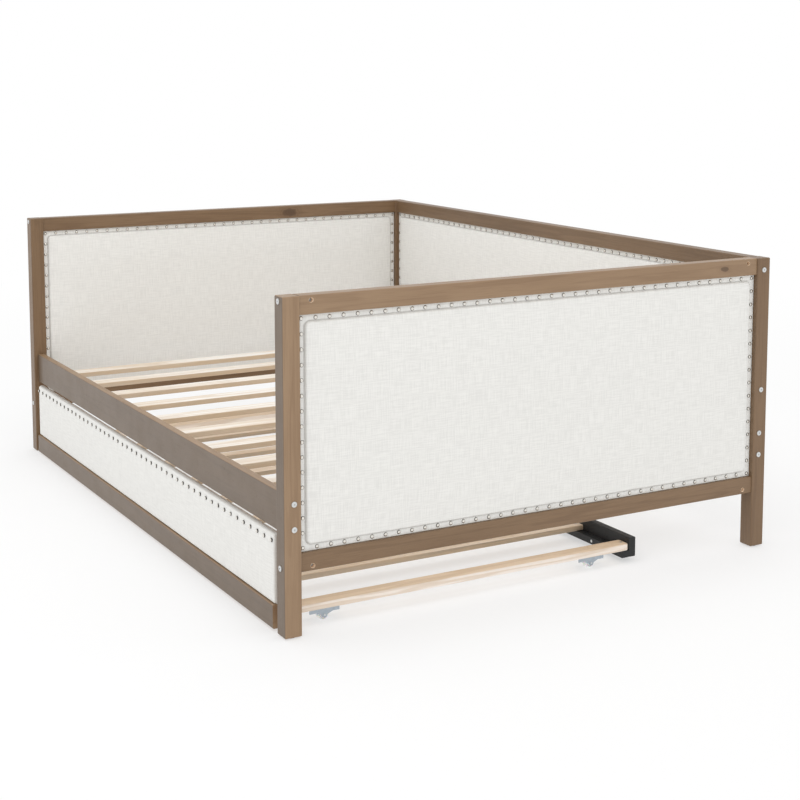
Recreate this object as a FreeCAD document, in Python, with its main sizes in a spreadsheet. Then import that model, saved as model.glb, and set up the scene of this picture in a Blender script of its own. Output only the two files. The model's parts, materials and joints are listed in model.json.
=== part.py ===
"""Upholstered daybed with a roll-out trundle on casters.

Frame: millimetres, +Z up, origin on the floor under the middle of the bed.
X runs along the bed, from the left arm to the right arm. Y runs from the open
front (-Y) to the back panel (+Y). The trundle rolls out of the front, along -Y.
"""

import FreeCAD, Part
import math
import os
import Sketcher

os.makedirs("parts", exist_ok=True)
doc = FreeCAD.newDocument("trundle_bed")
sheet = doc.addObject("Spreadsheet::Sheet", "sizes")
Vector = FreeCAD.Vector

# ---------------------------------------------------------------- driving sizes (mm)

DRIVING_SIZES = {
    # the bed frame
    "bed_length": 2040,
    "bed_depth": 1450,
    "bed_height": 800,
    "post_side": 44,
    "edge_round": 3,
    "glide_radius": 14,
    "glide_height": 3,
    # rails of the two arms and of the back
    "panel_rail_height": 45,
    "panel_rail_thickness": 36,
    "arm_bottom_rail_z": 154,
    "back_bottom_rail_z": 417,
    # side rails, their ledgers and the slats that lie on them
    "side_rail_z": 242,
    "side_rail_height": 95,
    "side_rail_thickness": 22,
    "side_rail_setback": 14,
    "ledger_width": 20,
    "ledger_height": 20,
    "slat_sink": 28,
    "slat_thickness": 16,
    "slat_width": 56,
    "slat_count": 9,
    "slat_end_margin": 216,
    "slat_end_gap": 1,
    # upholstered panels
    "board_thickness": 12,
    "fabric_thickness": 2,
    "pad_rise": 10,
    "pad_border": 15,
    "pad_round": 9,
    "pad_gap": 0.5,
    # decorative nails
    "nail_radius": 5,
    "nail_height": 3,
    "nail_inset": 9,
    "nail_pitch": 36,
    # the trundle
    "trundle_end_gap": 24,
    "trundle_depth": 1062,
    "front_rail_drop": 7,
    "front_rail_height": 58,
    "front_rail_thickness": 22,
    "front_panel_setback": 10,
    "front_panel_top_gap": 8,
    "front_pad_thickness": 8,
    "front_pad_border": 3,
    "front_pad_round": 5,
    "front_nail_drop": 16,
    "front_nail_pitch": 40,
    "rear_rail_height": 53,
    "rear_rail_thickness": 21,
    "trundle_ledger_width": 22,
    "trundle_ledger_height": 18,
    "trundle_slat_width": 43,
    "trundle_slat_thickness": 15,
    "trundle_slat_count": 9,
    "trundle_end_slat_shift": 26,
    "caster_beam_thickness": 19,
    "caster_beam_round": 4,
    "caster_beam_corner": 9,
    # casters
    "caster_spread": 392,
    "caster_wheel_radius": 13.5,
    "caster_wheel_width": 18,
    "caster_tread_round": 1.5,
    "caster_axle_radius": 2.5,
    "caster_plate_length": 80,
    "caster_plate_width": 26,
    "caster_metal": 1.5,
    "caster_headroom": 2.5,
    "caster_flange_height": 11,
    "caster_cheek_radius": 7,
    "caster_cheek_reach": 22,
    # fasteners
    "bolt_radius": 3,
    "bolt_head_radius": 7,
    "bolt_head_height": 2.5,
    "bolt_head_round": 0.8,
    "socket_across_flats": 4,
    "socket_depth": 2,
    "barrel_nut_radius": 5.8,
    "barrel_nut_length": 14,
    "barrel_inset": 30,
    "bolt_hole_play": 0.5,
    "barrel_hole_play": 0.2,
    "arm_bolt_from_edge": 12,
    "back_top_bolt_drop": 32,
    "side_bolt_spacing": 60,
    "screw_radius": 2,
    "screw_head_radius": 4,
    "screw_head_height": 2,
    "screw_play": 0.1,
    "slat_screw_length": 28,
    "ledger_screw_length": 32,
    "ledger_screw_count": 6,
    "trundle_screw_length": 26,
    "caster_screw_length": 14,
    "caster_screw_spacing": 64,
    "axle_play": 0.1,
    # room past the end of a blind hole, and how far a drill starts outside the wood
    "hole_end_room": 1,
    "drill_overrun": 0.5,
}

for row, (alias, number) in enumerate(DRIVING_SIZES.items(), start=1):
    sheet.set("A%d" % row, alias)
    sheet.set("B%d" % row, str(number))
    sheet.setAlias("B%d" % row, alias)
doc.recompute()


TOLERANCE = 0.001


def value(text):
    """The number that an expression of the sheet comes to."""
    return float(sheet.evalExpression(text))


# ---------------------------------------------------------------- derived places, as expressions

HALF_LENGTH = "(sizes.bed_length / 2)"
HALF_DEPTH = "(sizes.bed_depth / 2)"
HALF_POST = "(sizes.post_side / 2)"
POST_X = "(sizes.bed_length / 2 - sizes.post_side / 2)"
POST_Y = "(sizes.bed_depth / 2 - sizes.post_side / 2)"
INNER_X = "(sizes.bed_length / 2 - sizes.post_side)"
INNER_Y = "(sizes.bed_depth / 2 - sizes.post_side)"
TOP_RAIL_Z = "(sizes.bed_height - sizes.panel_rail_height)"
ARM_PANEL_Z = "(sizes.arm_bottom_rail_z + sizes.panel_rail_height)"
BACK_PANEL_Z = "(sizes.back_bottom_rail_z + sizes.panel_rail_height)"
ARM_PANEL_WIDTH = "(sizes.bed_depth - 2 * sizes.post_side)"
ARM_PANEL_HEIGHT = "(%s - %s)" % (TOP_RAIL_Z, ARM_PANEL_Z)
BACK_PANEL_WIDTH = "(sizes.bed_length - 2 * sizes.post_side)"
BACK_PANEL_HEIGHT = "(%s - %s)" % (TOP_RAIL_Z, BACK_PANEL_Z)
SIDE_RAIL_Y = "(sizes.bed_depth / 2 - sizes.side_rail_setback - sizes.side_rail_thickness / 2)"
SIDE_RAIL_INNER_Y = "(sizes.bed_depth / 2 - sizes.side_rail_setback - sizes.side_rail_thickness)"
SIDE_RAIL_MIDDLE_Z = "(sizes.side_rail_z + sizes.side_rail_height / 2)"
SLAT_TOP_Z = "(sizes.side_rail_z + sizes.side_rail_height - sizes.slat_sink)"
SLAT_Z = "(%s - sizes.slat_thickness)" % SLAT_TOP_Z
LEDGER_Z = "(%s - sizes.ledger_height)" % SLAT_Z
SLAT_LAST_X = "(%s - sizes.slat_end_margin)" % INNER_X

TRUNDLE_END_X = "(%s - sizes.trundle_end_gap)" % INNER_X
TRUNDLE_FRONT_Y = "(-sizes.bed_depth / 2)"
TRUNDLE_REAR_Y = "(sizes.trundle_depth - sizes.bed_depth / 2)"
REAR_RAIL_Y = "(%s - sizes.rear_rail_thickness)" % TRUNDLE_REAR_Y
FRONT_RAIL_REAR_Y = "(%s + sizes.front_rail_thickness)" % TRUNDLE_FRONT_Y
TRUNDLE_SLAT_Z = "(2 * sizes.caster_wheel_radius + sizes.caster_headroom + sizes.caster_metal)"
TRUNDLE_LEDGER_Z = "(%s - sizes.trundle_ledger_height)" % TRUNDLE_SLAT_Z
FRONT_RAIL_Z = "(%s - sizes.front_rail_drop)" % TRUNDLE_LEDGER_Z
TRUNDLE_SLAT_LENGTH = "(%s - %s)" % (REAR_RAIL_Y, FRONT_RAIL_REAR_Y)
TRUNDLE_MIDDLE_Y = "((%s + %s) / 2)" % (REAR_RAIL_Y, FRONT_RAIL_REAR_Y)
CASTER_BEAM_X = "(%s - sizes.trundle_slat_width / 2)" % TRUNDLE_END_X
FRONT_PANEL_Z = "(%s + sizes.front_rail_height)" % FRONT_RAIL_Z
FRONT_PANEL_HEIGHT = "(sizes.side_rail_z - sizes.front_panel_top_gap - %s)" % FRONT_PANEL_Z
FRONT_BOARD_Y = "(%s + sizes.front_panel_setback)" % TRUNDLE_FRONT_Y

ALONG_X = Vector(1, 0, 0)
ALONG_Y = Vector(0, 1, 0)
ALONG_Z = Vector(0, 0, 1)

parts = {}


# ---------------------------------------------------------------- building helpers


def place(piece, x, y, z):
    """Tie a piece's position to the sheet."""
    for axis, text in zip("xyz", (x, y, z)):
        piece.setExpression("Placement.Base." + axis, text)


def keep(piece, name):
    """Make a finished piece a sub-part called name."""
    piece.Label = name
    parts[name] = piece
    return piece


def shifted(point, direction, distance):
    """A point, as three expressions, moved by distance along a unit direction."""
    moved = []
    for text, step in zip(point, (direction.x, direction.y, direction.z)):
        moved.append("(%s + %d * (%s))" % (text, round(step), distance) if step else text)
    return tuple(moved)


def turned_to(direction):
    """The rotation that takes +Z to a direction."""
    return FreeCAD.Rotation(ALONG_Z, direction)


def plane_of(body, role):
    """One of a body's own origin planes."""
    return next(item for item in body.Origin.OriginFeatures if item.Role == role)


def rectangle(body, name, low_x, low_y, width, height):
    """A closed rectangle on a body's XY plane, with its corner and size tied to the sheet."""
    sketch = body.newObject("Sketcher::SketchObject", name)
    sketch.AttachmentSupport = [(plane_of(body, "XY_Plane"), "")]
    sketch.MapMode = "FlatFace"
    x0, y0 = value(low_x), value(low_y)
    x1, y1 = x0 + value(width), y0 + value(height)
    corners = [Vector(x0, y0), Vector(x1, y0), Vector(x1, y1), Vector(x0, y1)]
    for start, end in zip(corners, corners[1:] + corners[:1]):
        sketch.addGeometry(Part.LineSegment(start, end))
    for line in range(4):
        sketch.addConstraint(Sketcher.Constraint("Coincident", line, 2, (line + 1) % 4, 1))
    for line, kind in enumerate(("Horizontal", "Vertical", "Horizontal", "Vertical")):
        sketch.addConstraint(Sketcher.Constraint(kind, line))
    sized = [
        ("DistanceX", (0, 1, 0, 2), x1 - x0, width),
        ("DistanceY", (1, 1, 1, 2), y1 - y0, height),
    ]
    for kind, ends, number, text in sized:
        index = sketch.addConstraint(Sketcher.Constraint(kind, *ends, number))
        sketch.setExpression("Constraints[%d]" % index, text)
    for kind, number, text in (("DistanceX", x0, low_x), ("DistanceY", y0, low_y)):
        index = sketch.addConstraint(Sketcher.Constraint(kind, -1, 1, 0, 1, number))
        sketch.setExpression("Constraints[%d]" % index, text)
    return sketch


def padded_up(body, name, sketch, height):
    """Raise a sketch along the body's +Z."""
    pad = body.newObject("PartDesign::Pad", name)
    pad.Profile = sketch
    pad.setExpression("Length", height)
    body.Tip = pad
    doc.recompute()
    return pad


def edges_along(shape, directions):
    """The names of a shape's straight edges that run along one of the directions."""
    names = []
    for number, edge in enumerate(shape.Edges, start=1):
        run = (edge.Vertexes[-1].Point - edge.Vertexes[0].Point).normalize()
        if any(abs(run.dot(direction)) > 0.999 for direction in directions):
            names.append("Edge%d" % number)
    return names


def rounded_over(body, name, blank, directions, radius):
    """Round the edges of a body's shape that run along the directions."""
    rounding = body.newObject("PartDesign::Fillet", name)
    rounding.Base = (blank, edges_along(blank.Shape, directions))
    rounding.setExpression("Radius", radius)
    body.Tip = rounding
    doc.recompute()
    return rounding


def timber(name, size, corner, eased, round_by="sizes.edge_round", corner_round=None):
    """A squared stick of wood: size and lowest corner are expressions; the edges that run along
    the directions in eased are rounded over, and so are its upright corners if they are given a
    radius."""
    body = doc.addObject("PartDesign::Body", name + "_blank")
    sketch = rectangle(body, name + "_section", "0", "0", size[0], size[1])
    blank = padded_up(body, name + "_length", sketch, size[2])
    if corner_round:
        blank = rounded_over(body, name + "_corners", blank, (ALONG_Z,), corner_round)
    rounded_over(body, name + "_eased", blank, eased, round_by)
    place(body, *corner)
    return body


def bore(point, direction, radius, depth):
    """A drill's path: a cylinder from a point along a direction."""
    drill = doc.addObject("Part::Cylinder", "drill")
    drill.setExpression("Radius", radius)
    drill.setExpression("Height", depth)
    drill.Placement = FreeCAD.Placement(Vector(), turned_to(direction))
    place(drill, *point)
    return drill


def cut_holes(name, blank, drills):
    """A blank with its holes cut."""
    tools = doc.addObject("Part::MultiFuse", name + "_drills")
    tools.Shapes = drills
    cut = doc.addObject("Part::Cut", name + "_cut")
    cut.Base = blank
    cut.Tool = tools
    return cut


def drilled(name, blank, drills):
    """A blank with its holes cut, kept as a sub-part."""
    return keep(cut_holes(name, blank, drills), name)


def block(name, size, corner):
    """A square-edged block: size and lowest corner are expressions."""
    made = doc.addObject("Part::Box", name)
    for path, text in zip(("Length", "Width", "Height"), size):
        made.setExpression(path, text)
    place(made, *corner)
    return made


def group(name, shapes):
    """Identical loose pieces kept together in one sub-part."""
    piece = doc.addObject("Part::Feature", name)
    piece.Shape = Part.makeCompound(shapes)
    return keep(piece, name)


# ---------------------------------------------------------------- bolted joints of the frame

ARM_TOP_BOLT_Z = "(sizes.bed_height - sizes.arm_bolt_from_edge)"
ARM_BOTTOM_BOLT_Z = "(sizes.arm_bottom_rail_z + sizes.arm_bolt_from_edge)"
SIDES = (("right", 1), ("left", -1))
ENDS = (("front", -1), ("back", 1))
OVERRUN = "sizes.drill_overrun"


def bolted_joints():
    """Every bolt of the frame: the post and rail it joins, the point where its head lies on the
    post, its direction, and the direction out of the rail's face with the barrel nut's hole."""
    joints = []
    for side, x_sign in SIDES:
        outward = ALONG_X * x_sign
        x_post = "(%d * %s)" % (x_sign, POST_X)
        x_face = "(%d * %s)" % (x_sign, HALF_LENGTH)
        for end, y_sign in ENDS:
            post = "%s_%s_post" % (side, end)
            y_face = "(%d * %s)" % (y_sign, HALF_DEPTH)
            inward = ALONG_Y * -y_sign
            for level, height in (("top", ARM_TOP_BOLT_Z), ("bottom", ARM_BOTTOM_BOLT_Z)):
                point = (x_post, y_face, height)
                joints.append((post, "%s_arm_%s_rail" % (side, level), point, inward, outward))
            y_rail = "(%d * %s)" % (y_sign, SIDE_RAIL_Y)
            for step in (-1, 1):
                height = "(%s + %d * sizes.side_bolt_spacing / 2)" % (SIDE_RAIL_MIDDLE_Z, step)
                point = (x_face, y_rail, height)
                joints.append((post, end + "_side_rail", point, ALONG_X * -x_sign, inward))
        back_post = side + "_back_post"
        middle_z = "(sizes.back_bottom_rail_z + sizes.panel_rail_height / 2)"
        top_z = "(sizes.bed_height - sizes.back_top_bolt_drop)"
        for level, height in (("top", top_z), ("bottom", middle_z)):
            point = (x_face, POST_Y, height)
            joints.append((back_post, "back_%s_rail" % level, point, ALONG_X * -x_sign, ALONG_Y))
    return joints


JOINTS = bolted_joints()
BOLT_LENGTH = "(sizes.post_side + sizes.barrel_inset + sizes.barrel_nut_radius)"
BOLT_HOLE_RADIUS = "(sizes.bolt_radius + sizes.bolt_hole_play)"
NUT_DISTANCE = "(sizes.post_side + sizes.barrel_inset)"
NUT_HALF = "(sizes.barrel_nut_length / 2)"


def rail_half_thickness(rail):
    """Half the thickness of the rail that a barrel nut sits in."""
    if rail.endswith("side_rail"):
        return "(sizes.side_rail_thickness / 2)"
    return "(sizes.panel_rail_thickness / 2)"


def post_drills(post):
    """The bolt holes right through one post."""
    drills = []
    for joint_post, _, point, direction, _ in JOINTS:
        if joint_post == post:
            start = shifted(point, direction, "-" + OVERRUN)
            drills.append(bore(start, direction, BOLT_HOLE_RADIUS, "sizes.post_side + 2 * " + OVERRUN))
    return drills


def rail_drills(rail):
    """The blind bolt holes in one rail's ends and the barrel nut holes that cross them."""
    drills = []
    half = rail_half_thickness(rail)
    for _, joint_rail, point, direction, outward in JOINTS:
        if joint_rail != rail:
            continue
        start = shifted(point, direction, "sizes.post_side - " + OVERRUN)
        depth = "sizes.barrel_inset + sizes.barrel_nut_radius + sizes.hole_end_room + " + OVERRUN
        drills.append(bore(start, direction, BOLT_HOLE_RADIUS, depth))
        mouth = shifted(shifted(point, direction, NUT_DISTANCE), outward, half + " + " + OVERRUN)
        nut_radius = "sizes.barrel_nut_radius + sizes.barrel_hole_play"
        nut_depth = "%s + %s + %s" % (half, OVERRUN, NUT_HALF)
        drills.append(bore(mouth, outward * -1, nut_radius, nut_depth))
    return drills


# ---------------------------------------------------------------- the bed's wooden frame


def build_posts():
    """Four square posts, one at each corner, each standing on a glide."""
    height = "(sizes.bed_height - sizes.glide_height)"
    for side, x_sign in SIDES:
        for end, y_sign in ENDS:
            name = "%s_%s_post" % (side, end)
            corner = (
                "%d * %s - %s" % (x_sign, POST_X, HALF_POST),
                "%d * %s - %s" % (y_sign, POST_Y, HALF_POST),
                "sizes.glide_height",
            )
            size = ("sizes.post_side", "sizes.post_side", height)
            blank = timber(name, size, corner, (ALONG_X, ALONG_Y, ALONG_Z))
            drilled(name, blank, post_drills(name))


def build_glides():
    """Plastic glides nailed under the posts."""
    glides = []
    for _, x_sign in SIDES:
        for _, y_sign in ENDS:
            glide = doc.addObject("Part::Cylinder", "glide")
            glide.setExpression("Radius", "sizes.glide_radius")
            glide.setExpression("Height", "sizes.glide_height")
            place(glide, "%d * %s" % (x_sign, POST_X), "%d * %s" % (y_sign, POST_Y), "0")
            glides.append(glide)
    together = doc.addObject("Part::Compound", "glides")
    together.Links = glides
    keep(together, "post_glides")


def build_arm_rails():
    """The top and bottom rails of the two arms, between their posts."""
    size = ("sizes.panel_rail_thickness", ARM_PANEL_WIDTH, "sizes.panel_rail_height")
    for side, x_sign in SIDES:
        for level, z in (("top", TOP_RAIL_Z), ("bottom", "sizes.arm_bottom_rail_z")):
            name = "%s_arm_%s_rail" % (side, level)
            corner = ("%d * %s - sizes.panel_rail_thickness / 2" % (x_sign, POST_X), "-" + INNER_Y, z)
            drilled(name, timber(name, size, corner, (ALONG_Y,)), rail_drills(name))


def build_back_rails():
    """The top and bottom rails of the back panel."""
    size = (BACK_PANEL_WIDTH, "sizes.panel_rail_thickness", "sizes.panel_rail_height")
    for level, z in (("top", TOP_RAIL_Z), ("bottom", "sizes.back_bottom_rail_z")):
        name = "back_%s_rail" % level
        corner = ("-" + INNER_X, "%s - sizes.panel_rail_thickness / 2" % POST_Y, z)
        drilled(name, timber(name, size, corner, (ALONG_X,)), rail_drills(name))


def spread_evenly(last_x, count_name):
    """The X of each of a row of slats, as an expression, from -last_x to last_x."""
    spacing = "(2 * %s / (%s - 1))" % (last_x, count_name)
    return ["(-%s + %d * %s)" % (last_x, number, spacing) for number in range(int(value(count_name)))]


def between_slats(last_x, count_name):
    """The X of each ledger screw, midway between two slats of a row, as an expression."""
    spacing = "(2 * %s / (%s - 1))" % (last_x, count_name)
    places = []
    for number in range(int(value("sizes.ledger_screw_count"))):
        gap = "round((%d + 0.5) * (%s - 1) / sizes.ledger_screw_count - 0.5)" % (number, count_name)
        places.append("(-%s + (%s + 0.5) * %s)" % (last_x, gap, spacing))
    return places


def slat_positions():
    """The X of each bed slat's middle."""
    return spread_evenly(SLAT_LAST_X, "sizes.slat_count")


def slat_screw_points():
    """Where each slat is screwed down: the middle of each ledger, on the slat's top."""
    y_screw = "(%s - sizes.ledger_width / 2)" % SIDE_RAIL_INNER_Y
    return [(x, "(%d * %s)" % (y_sign, y_screw), SLAT_TOP_Z) for x in slat_positions() for _, y_sign in ENDS]


def ledger_screw_points(y_sign):
    """Where a bed ledger is screwed to its side rail, on the ledger's inner face, between slats."""
    y_face = "(%d * (%s - sizes.ledger_width))" % (y_sign, SIDE_RAIL_INNER_Y)
    z = "(%s + sizes.ledger_height / 2)" % LEDGER_Z
    return [(x, y_face, z) for x in between_slats(SLAT_LAST_X, "sizes.slat_count")]


def screw_drills(point, direction, length, sunk=True):
    """The hole for one countersunk screw, through both of the pieces that it joins."""
    start = shifted(point, direction, "-" + OVERRUN)
    depth = length + " + sizes.hole_end_room + " + OVERRUN
    drills = [bore(start, direction, "sizes.screw_radius + sizes.screw_play", depth)]
    if sunk:
        head_radius = "sizes.screw_head_radius + sizes.screw_play"
        drills.append(bore(start, direction, head_radius, "sizes.screw_head_height + " + OVERRUN))
    return drills


def build_side_rails():
    """The front and back side rails with the ledgers that carry the slats."""
    rail_size = (BACK_PANEL_WIDTH, "sizes.side_rail_thickness", "sizes.side_rail_height")
    ledger_size = (BACK_PANEL_WIDTH, "sizes.ledger_width", "sizes.ledger_height")
    for end, y_sign in ENDS:
        screws = ledger_screw_points(y_sign)
        outward = ALONG_Y * y_sign
        rail = end + "_side_rail"
        rail_corner = (
            "-" + INNER_X,
            "%d * %s - sizes.side_rail_thickness / 2" % (y_sign, SIDE_RAIL_Y),
            "sizes.side_rail_z",
        )
        drills = rail_drills(rail)
        for point in screws:
            drills += screw_drills(point, outward, "sizes.ledger_screw_length", sunk=False)
        drilled(rail, timber(rail, rail_size, rail_corner, (ALONG_X,)), drills)

        ledger = end + "_ledger"
        middle_y = "%d * (%s - sizes.ledger_width / 2)" % (y_sign, SIDE_RAIL_INNER_Y)
        ledger_corner = ("-" + INNER_X, middle_y + " - sizes.ledger_width / 2", LEDGER_Z)
        drills = []
        for point in screws:
            drills += screw_drills(point, outward, "sizes.ledger_screw_length")
        for point in slat_screw_points():
            if point[1].startswith("(%d " % y_sign):
                drills += screw_drills(point, ALONG_Z * -1, "sizes.slat_screw_length", sunk=False)
        drilled(ledger, block(ledger + "_blank", ledger_size, ledger_corner), drills)


def build_slats():
    """The cross slats of the bed, numbered from the left arm."""
    length = "(2 * (%s - sizes.slat_end_gap))" % SIDE_RAIL_INNER_Y
    size = ("sizes.slat_width", length, "sizes.slat_thickness")
    screws = slat_screw_points()
    for number, x in enumerate(slat_positions(), start=1):
        name = "bed_slat_%02d" % number
        corner = ("%s - sizes.slat_width / 2" % x, "-%s / 2" % length, SLAT_Z)
        drills = []
        for point in screws:
            if point[0] == x:
                drills += screw_drills(point, ALONG_Z * -1, "sizes.slat_screw_length")
        drilled(name, timber(name, size, corner, (ALONG_Y,)), drills)


# ---------------------------------------------------------------- upholstered panels

FACINGS = {
    "right": (ALONG_Y, ALONG_Z, ALONG_X),
    "left": (ALONG_Y * -1, ALONG_Z, ALONG_X * -1),
    "front": (ALONG_X, ALONG_Z, ALONG_Y * -1),
    "back": (ALONG_X * -1, ALONG_Z, ALONG_Y),
}


def turned_face(facing):
    """The rotation that lays a flat piece's width, height and thickness on a facing."""
    across, upward, outward = FACINGS[facing]
    return FreeCAD.Rotation(across, upward, outward, "ZXY")


FRAMED_SWELL = ("sizes.pad_rise", "sizes.pad_border", "sizes.pad_round")
FRONT_SWELL = (
    "(sizes.front_pad_thickness - sizes.fabric_thickness)",
    "sizes.front_pad_border",
    "sizes.front_pad_round",
)


def build_pad(name, width, height, centre, facing, swell):
    """A padded face: a flat cloth border, and inside it a field that stands higher by its rise."""
    rise, border, rounding_radius = swell
    base = "sizes.fabric_thickness"
    body = doc.addObject("PartDesign::Body", name)
    net_width = "(%s - 2 * sizes.pad_gap)" % width
    net_height = "(%s - 2 * sizes.pad_gap)" % height
    cloth_corner = ("-%s / 2" % net_width, "-%s / 2" % net_height)
    cloth = rectangle(body, name + "_cloth", *cloth_corner, net_width, net_height)
    padded_up(body, name + "_border", cloth, base)
    field_width = "(%s - 2 * %s)" % (net_width, border)
    field_height = "(%s - 2 * %s)" % (net_height, border)
    field_corner = ("-%s / 2" % field_width, "-%s / 2" % field_height)
    field = rectangle(body, name + "_plan", *field_corner, field_width, field_height)
    raised = padded_up(body, name + "_field", field, "%s + %s" % (base, rise))
    top = value(base) + value(rise)
    rim = []
    for number, edge in enumerate(raised.Shape.Edges, start=1):
        if all(abs(vertex.Point.z - top) < TOLERANCE for vertex in edge.Vertexes):
            rim.append("Edge%d" % number)
    rounding = body.newObject("PartDesign::Fillet", name + "_rounded")
    rounding.Base = (raised, rim)
    rounding.setExpression("Radius", rounding_radius)
    body.Tip = rounding
    body.Placement = FreeCAD.Placement(Vector(), turned_face(facing))
    place(body, *centre)
    keep(body, name)


def nail_head():
    """One domed nail head, standing on its rim, with its top at nail_height."""
    radius = value("sizes.nail_radius")
    height = value("sizes.nail_height")
    ball_radius = (radius ** 2 + height ** 2) / (2 * height)
    ball = Part.makeSphere(ball_radius, Vector(0, 0, height - ball_radius))
    slab = Part.makeBox(4 * radius, 4 * radius, 2 * height, Vector(-2 * radius, -2 * radius, 0))
    return ball.common(slab)


def nail_run(length, pitch):
    """Evenly spaced places along a row, from end to end, about a pitch apart."""
    gaps = max(1, round(length / pitch))
    return [length * (step / gaps - 0.5) for step in range(gaps + 1)]


def framed_nails(width, height):
    """Nail places around a panel, in its own plane, measured from its middle."""
    inset = value("sizes.nail_inset")
    pitch = value("sizes.nail_pitch")
    columns = nail_run(width - 2 * inset, pitch)
    rows = nail_run(height - 2 * inset, pitch)
    places = [(u, v) for u in columns for v in (rows[0], rows[-1])]
    return places + [(u, v) for v in rows[1:-1] for u in (columns[0], columns[-1])]


def nails_on(places, centre, facing):
    """Nail heads at places on the face whose middle is centre."""
    head = nail_head()
    turn = turned_face(facing)
    middle = Vector(*[value(text) for text in centre])
    heads = []
    for u, v in places:
        spot = FreeCAD.Placement(middle + turn.multVec(Vector(u, v, 0)), turn)
        heads.append(head.transformed(spot.toMatrix(), copy=True))
    return heads


HALF_BOARD = "(sizes.board_thickness / 2)"


def build_arm_panels():
    """The upholstered infill of each arm, padded and nailed on both faces."""
    size = ("sizes.board_thickness", ARM_PANEL_WIDTH, ARM_PANEL_HEIGHT)
    middle_z = "(%s + %s / 2)" % (ARM_PANEL_Z, ARM_PANEL_HEIGHT)
    for side, x_sign in SIDES:
        x_post = "(%d * %s)" % (x_sign, POST_X)
        corner = ("%s - %s" % (x_post, HALF_BOARD), "-" + INNER_Y, ARM_PANEL_Z)
        board = side + "_arm_board"
        keep(block(board, size, corner), board)
        heads = []
        for facing, x_out in SIDES:
            face = "outer" if x_out == x_sign else "inner"
            x_face = "(%s + %d * %s)" % (x_post, x_out, HALF_BOARD)
            build_pad(
                "%s_arm_%s_pad" % (side, face),
                ARM_PANEL_WIDTH,
                ARM_PANEL_HEIGHT,
                (x_face, "0", middle_z),
                facing,
                FRAMED_SWELL,
            )
            cloth_face = "%s + %d * sizes.fabric_thickness" % (x_face, x_out)
            places = framed_nails(value(ARM_PANEL_WIDTH), value(ARM_PANEL_HEIGHT))
            heads += nails_on(places, (cloth_face, "0", middle_z), facing)
        group(side + "_arm_nails", heads)


def build_back_panel():
    """The upholstered infill of the back, padded and nailed on both faces."""
    size = (BACK_PANEL_WIDTH, "sizes.board_thickness", BACK_PANEL_HEIGHT)
    corner = ("-" + INNER_X, "%s - %s" % (POST_Y, HALF_BOARD), BACK_PANEL_Z)
    keep(block("back_board", size, corner), "back_board")
    middle_z = "(%s + %s / 2)" % (BACK_PANEL_Z, BACK_PANEL_HEIGHT)
    heads = []
    for facing, y_out in ENDS:
        face = "rear" if y_out > 0 else "front"
        y_face = "(%s + %d * %s)" % (POST_Y, y_out, HALF_BOARD)
        build_pad(
            "back_%s_pad" % face,
            BACK_PANEL_WIDTH,
            BACK_PANEL_HEIGHT,
            ("0", y_face, middle_z),
            facing,
            FRAMED_SWELL,
        )
        cloth_face = "%s + %d * sizes.fabric_thickness" % (y_face, y_out)
        places = framed_nails(value(BACK_PANEL_WIDTH), value(BACK_PANEL_HEIGHT))
        heads += nails_on(places, ("0", cloth_face, middle_z), facing)
    group("back_nails", heads)


# ---------------------------------------------------------------- the trundle

TRUNDLE_WIDTH = "(2 * %s)" % TRUNDLE_END_X


def trundle_slat_positions():
    """The X of each trundle slat's middle; the first and the last are the caster beams, and the
    slat next to each beam stands a little nearer to it than even spacing would put it."""
    positions = spread_evenly(CASTER_BEAM_X, "sizes.trundle_slat_count")
    positions[1] = "(%s - sizes.trundle_end_slat_shift)" % positions[1]
    positions[-2] = "(%s + sizes.trundle_end_slat_shift)" % positions[-2]
    return positions


def trundle_screw_points(x, thickness):
    """Where a trundle slat is screwed to the front and the rear ledger, on its top."""
    z = "(%s + %s)" % (TRUNDLE_SLAT_Z, thickness)
    half_ledger = "sizes.trundle_ledger_width / 2"
    front = (x, "(%s + %s)" % (FRONT_RAIL_REAR_Y, half_ledger), z)
    rear = (x, "(%s - %s)" % (REAR_RAIL_Y, half_ledger), z)
    return front, rear


def trundle_ledger_screw_points(y_face):
    """Where a trundle ledger is screwed to its rail, between slats, on the ledger's inner face."""
    z = "(%s + sizes.trundle_ledger_height / 2)" % TRUNDLE_LEDGER_Z
    return [(x, y_face, z) for x in between_slats(CASTER_BEAM_X, "sizes.trundle_slat_count")]


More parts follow.
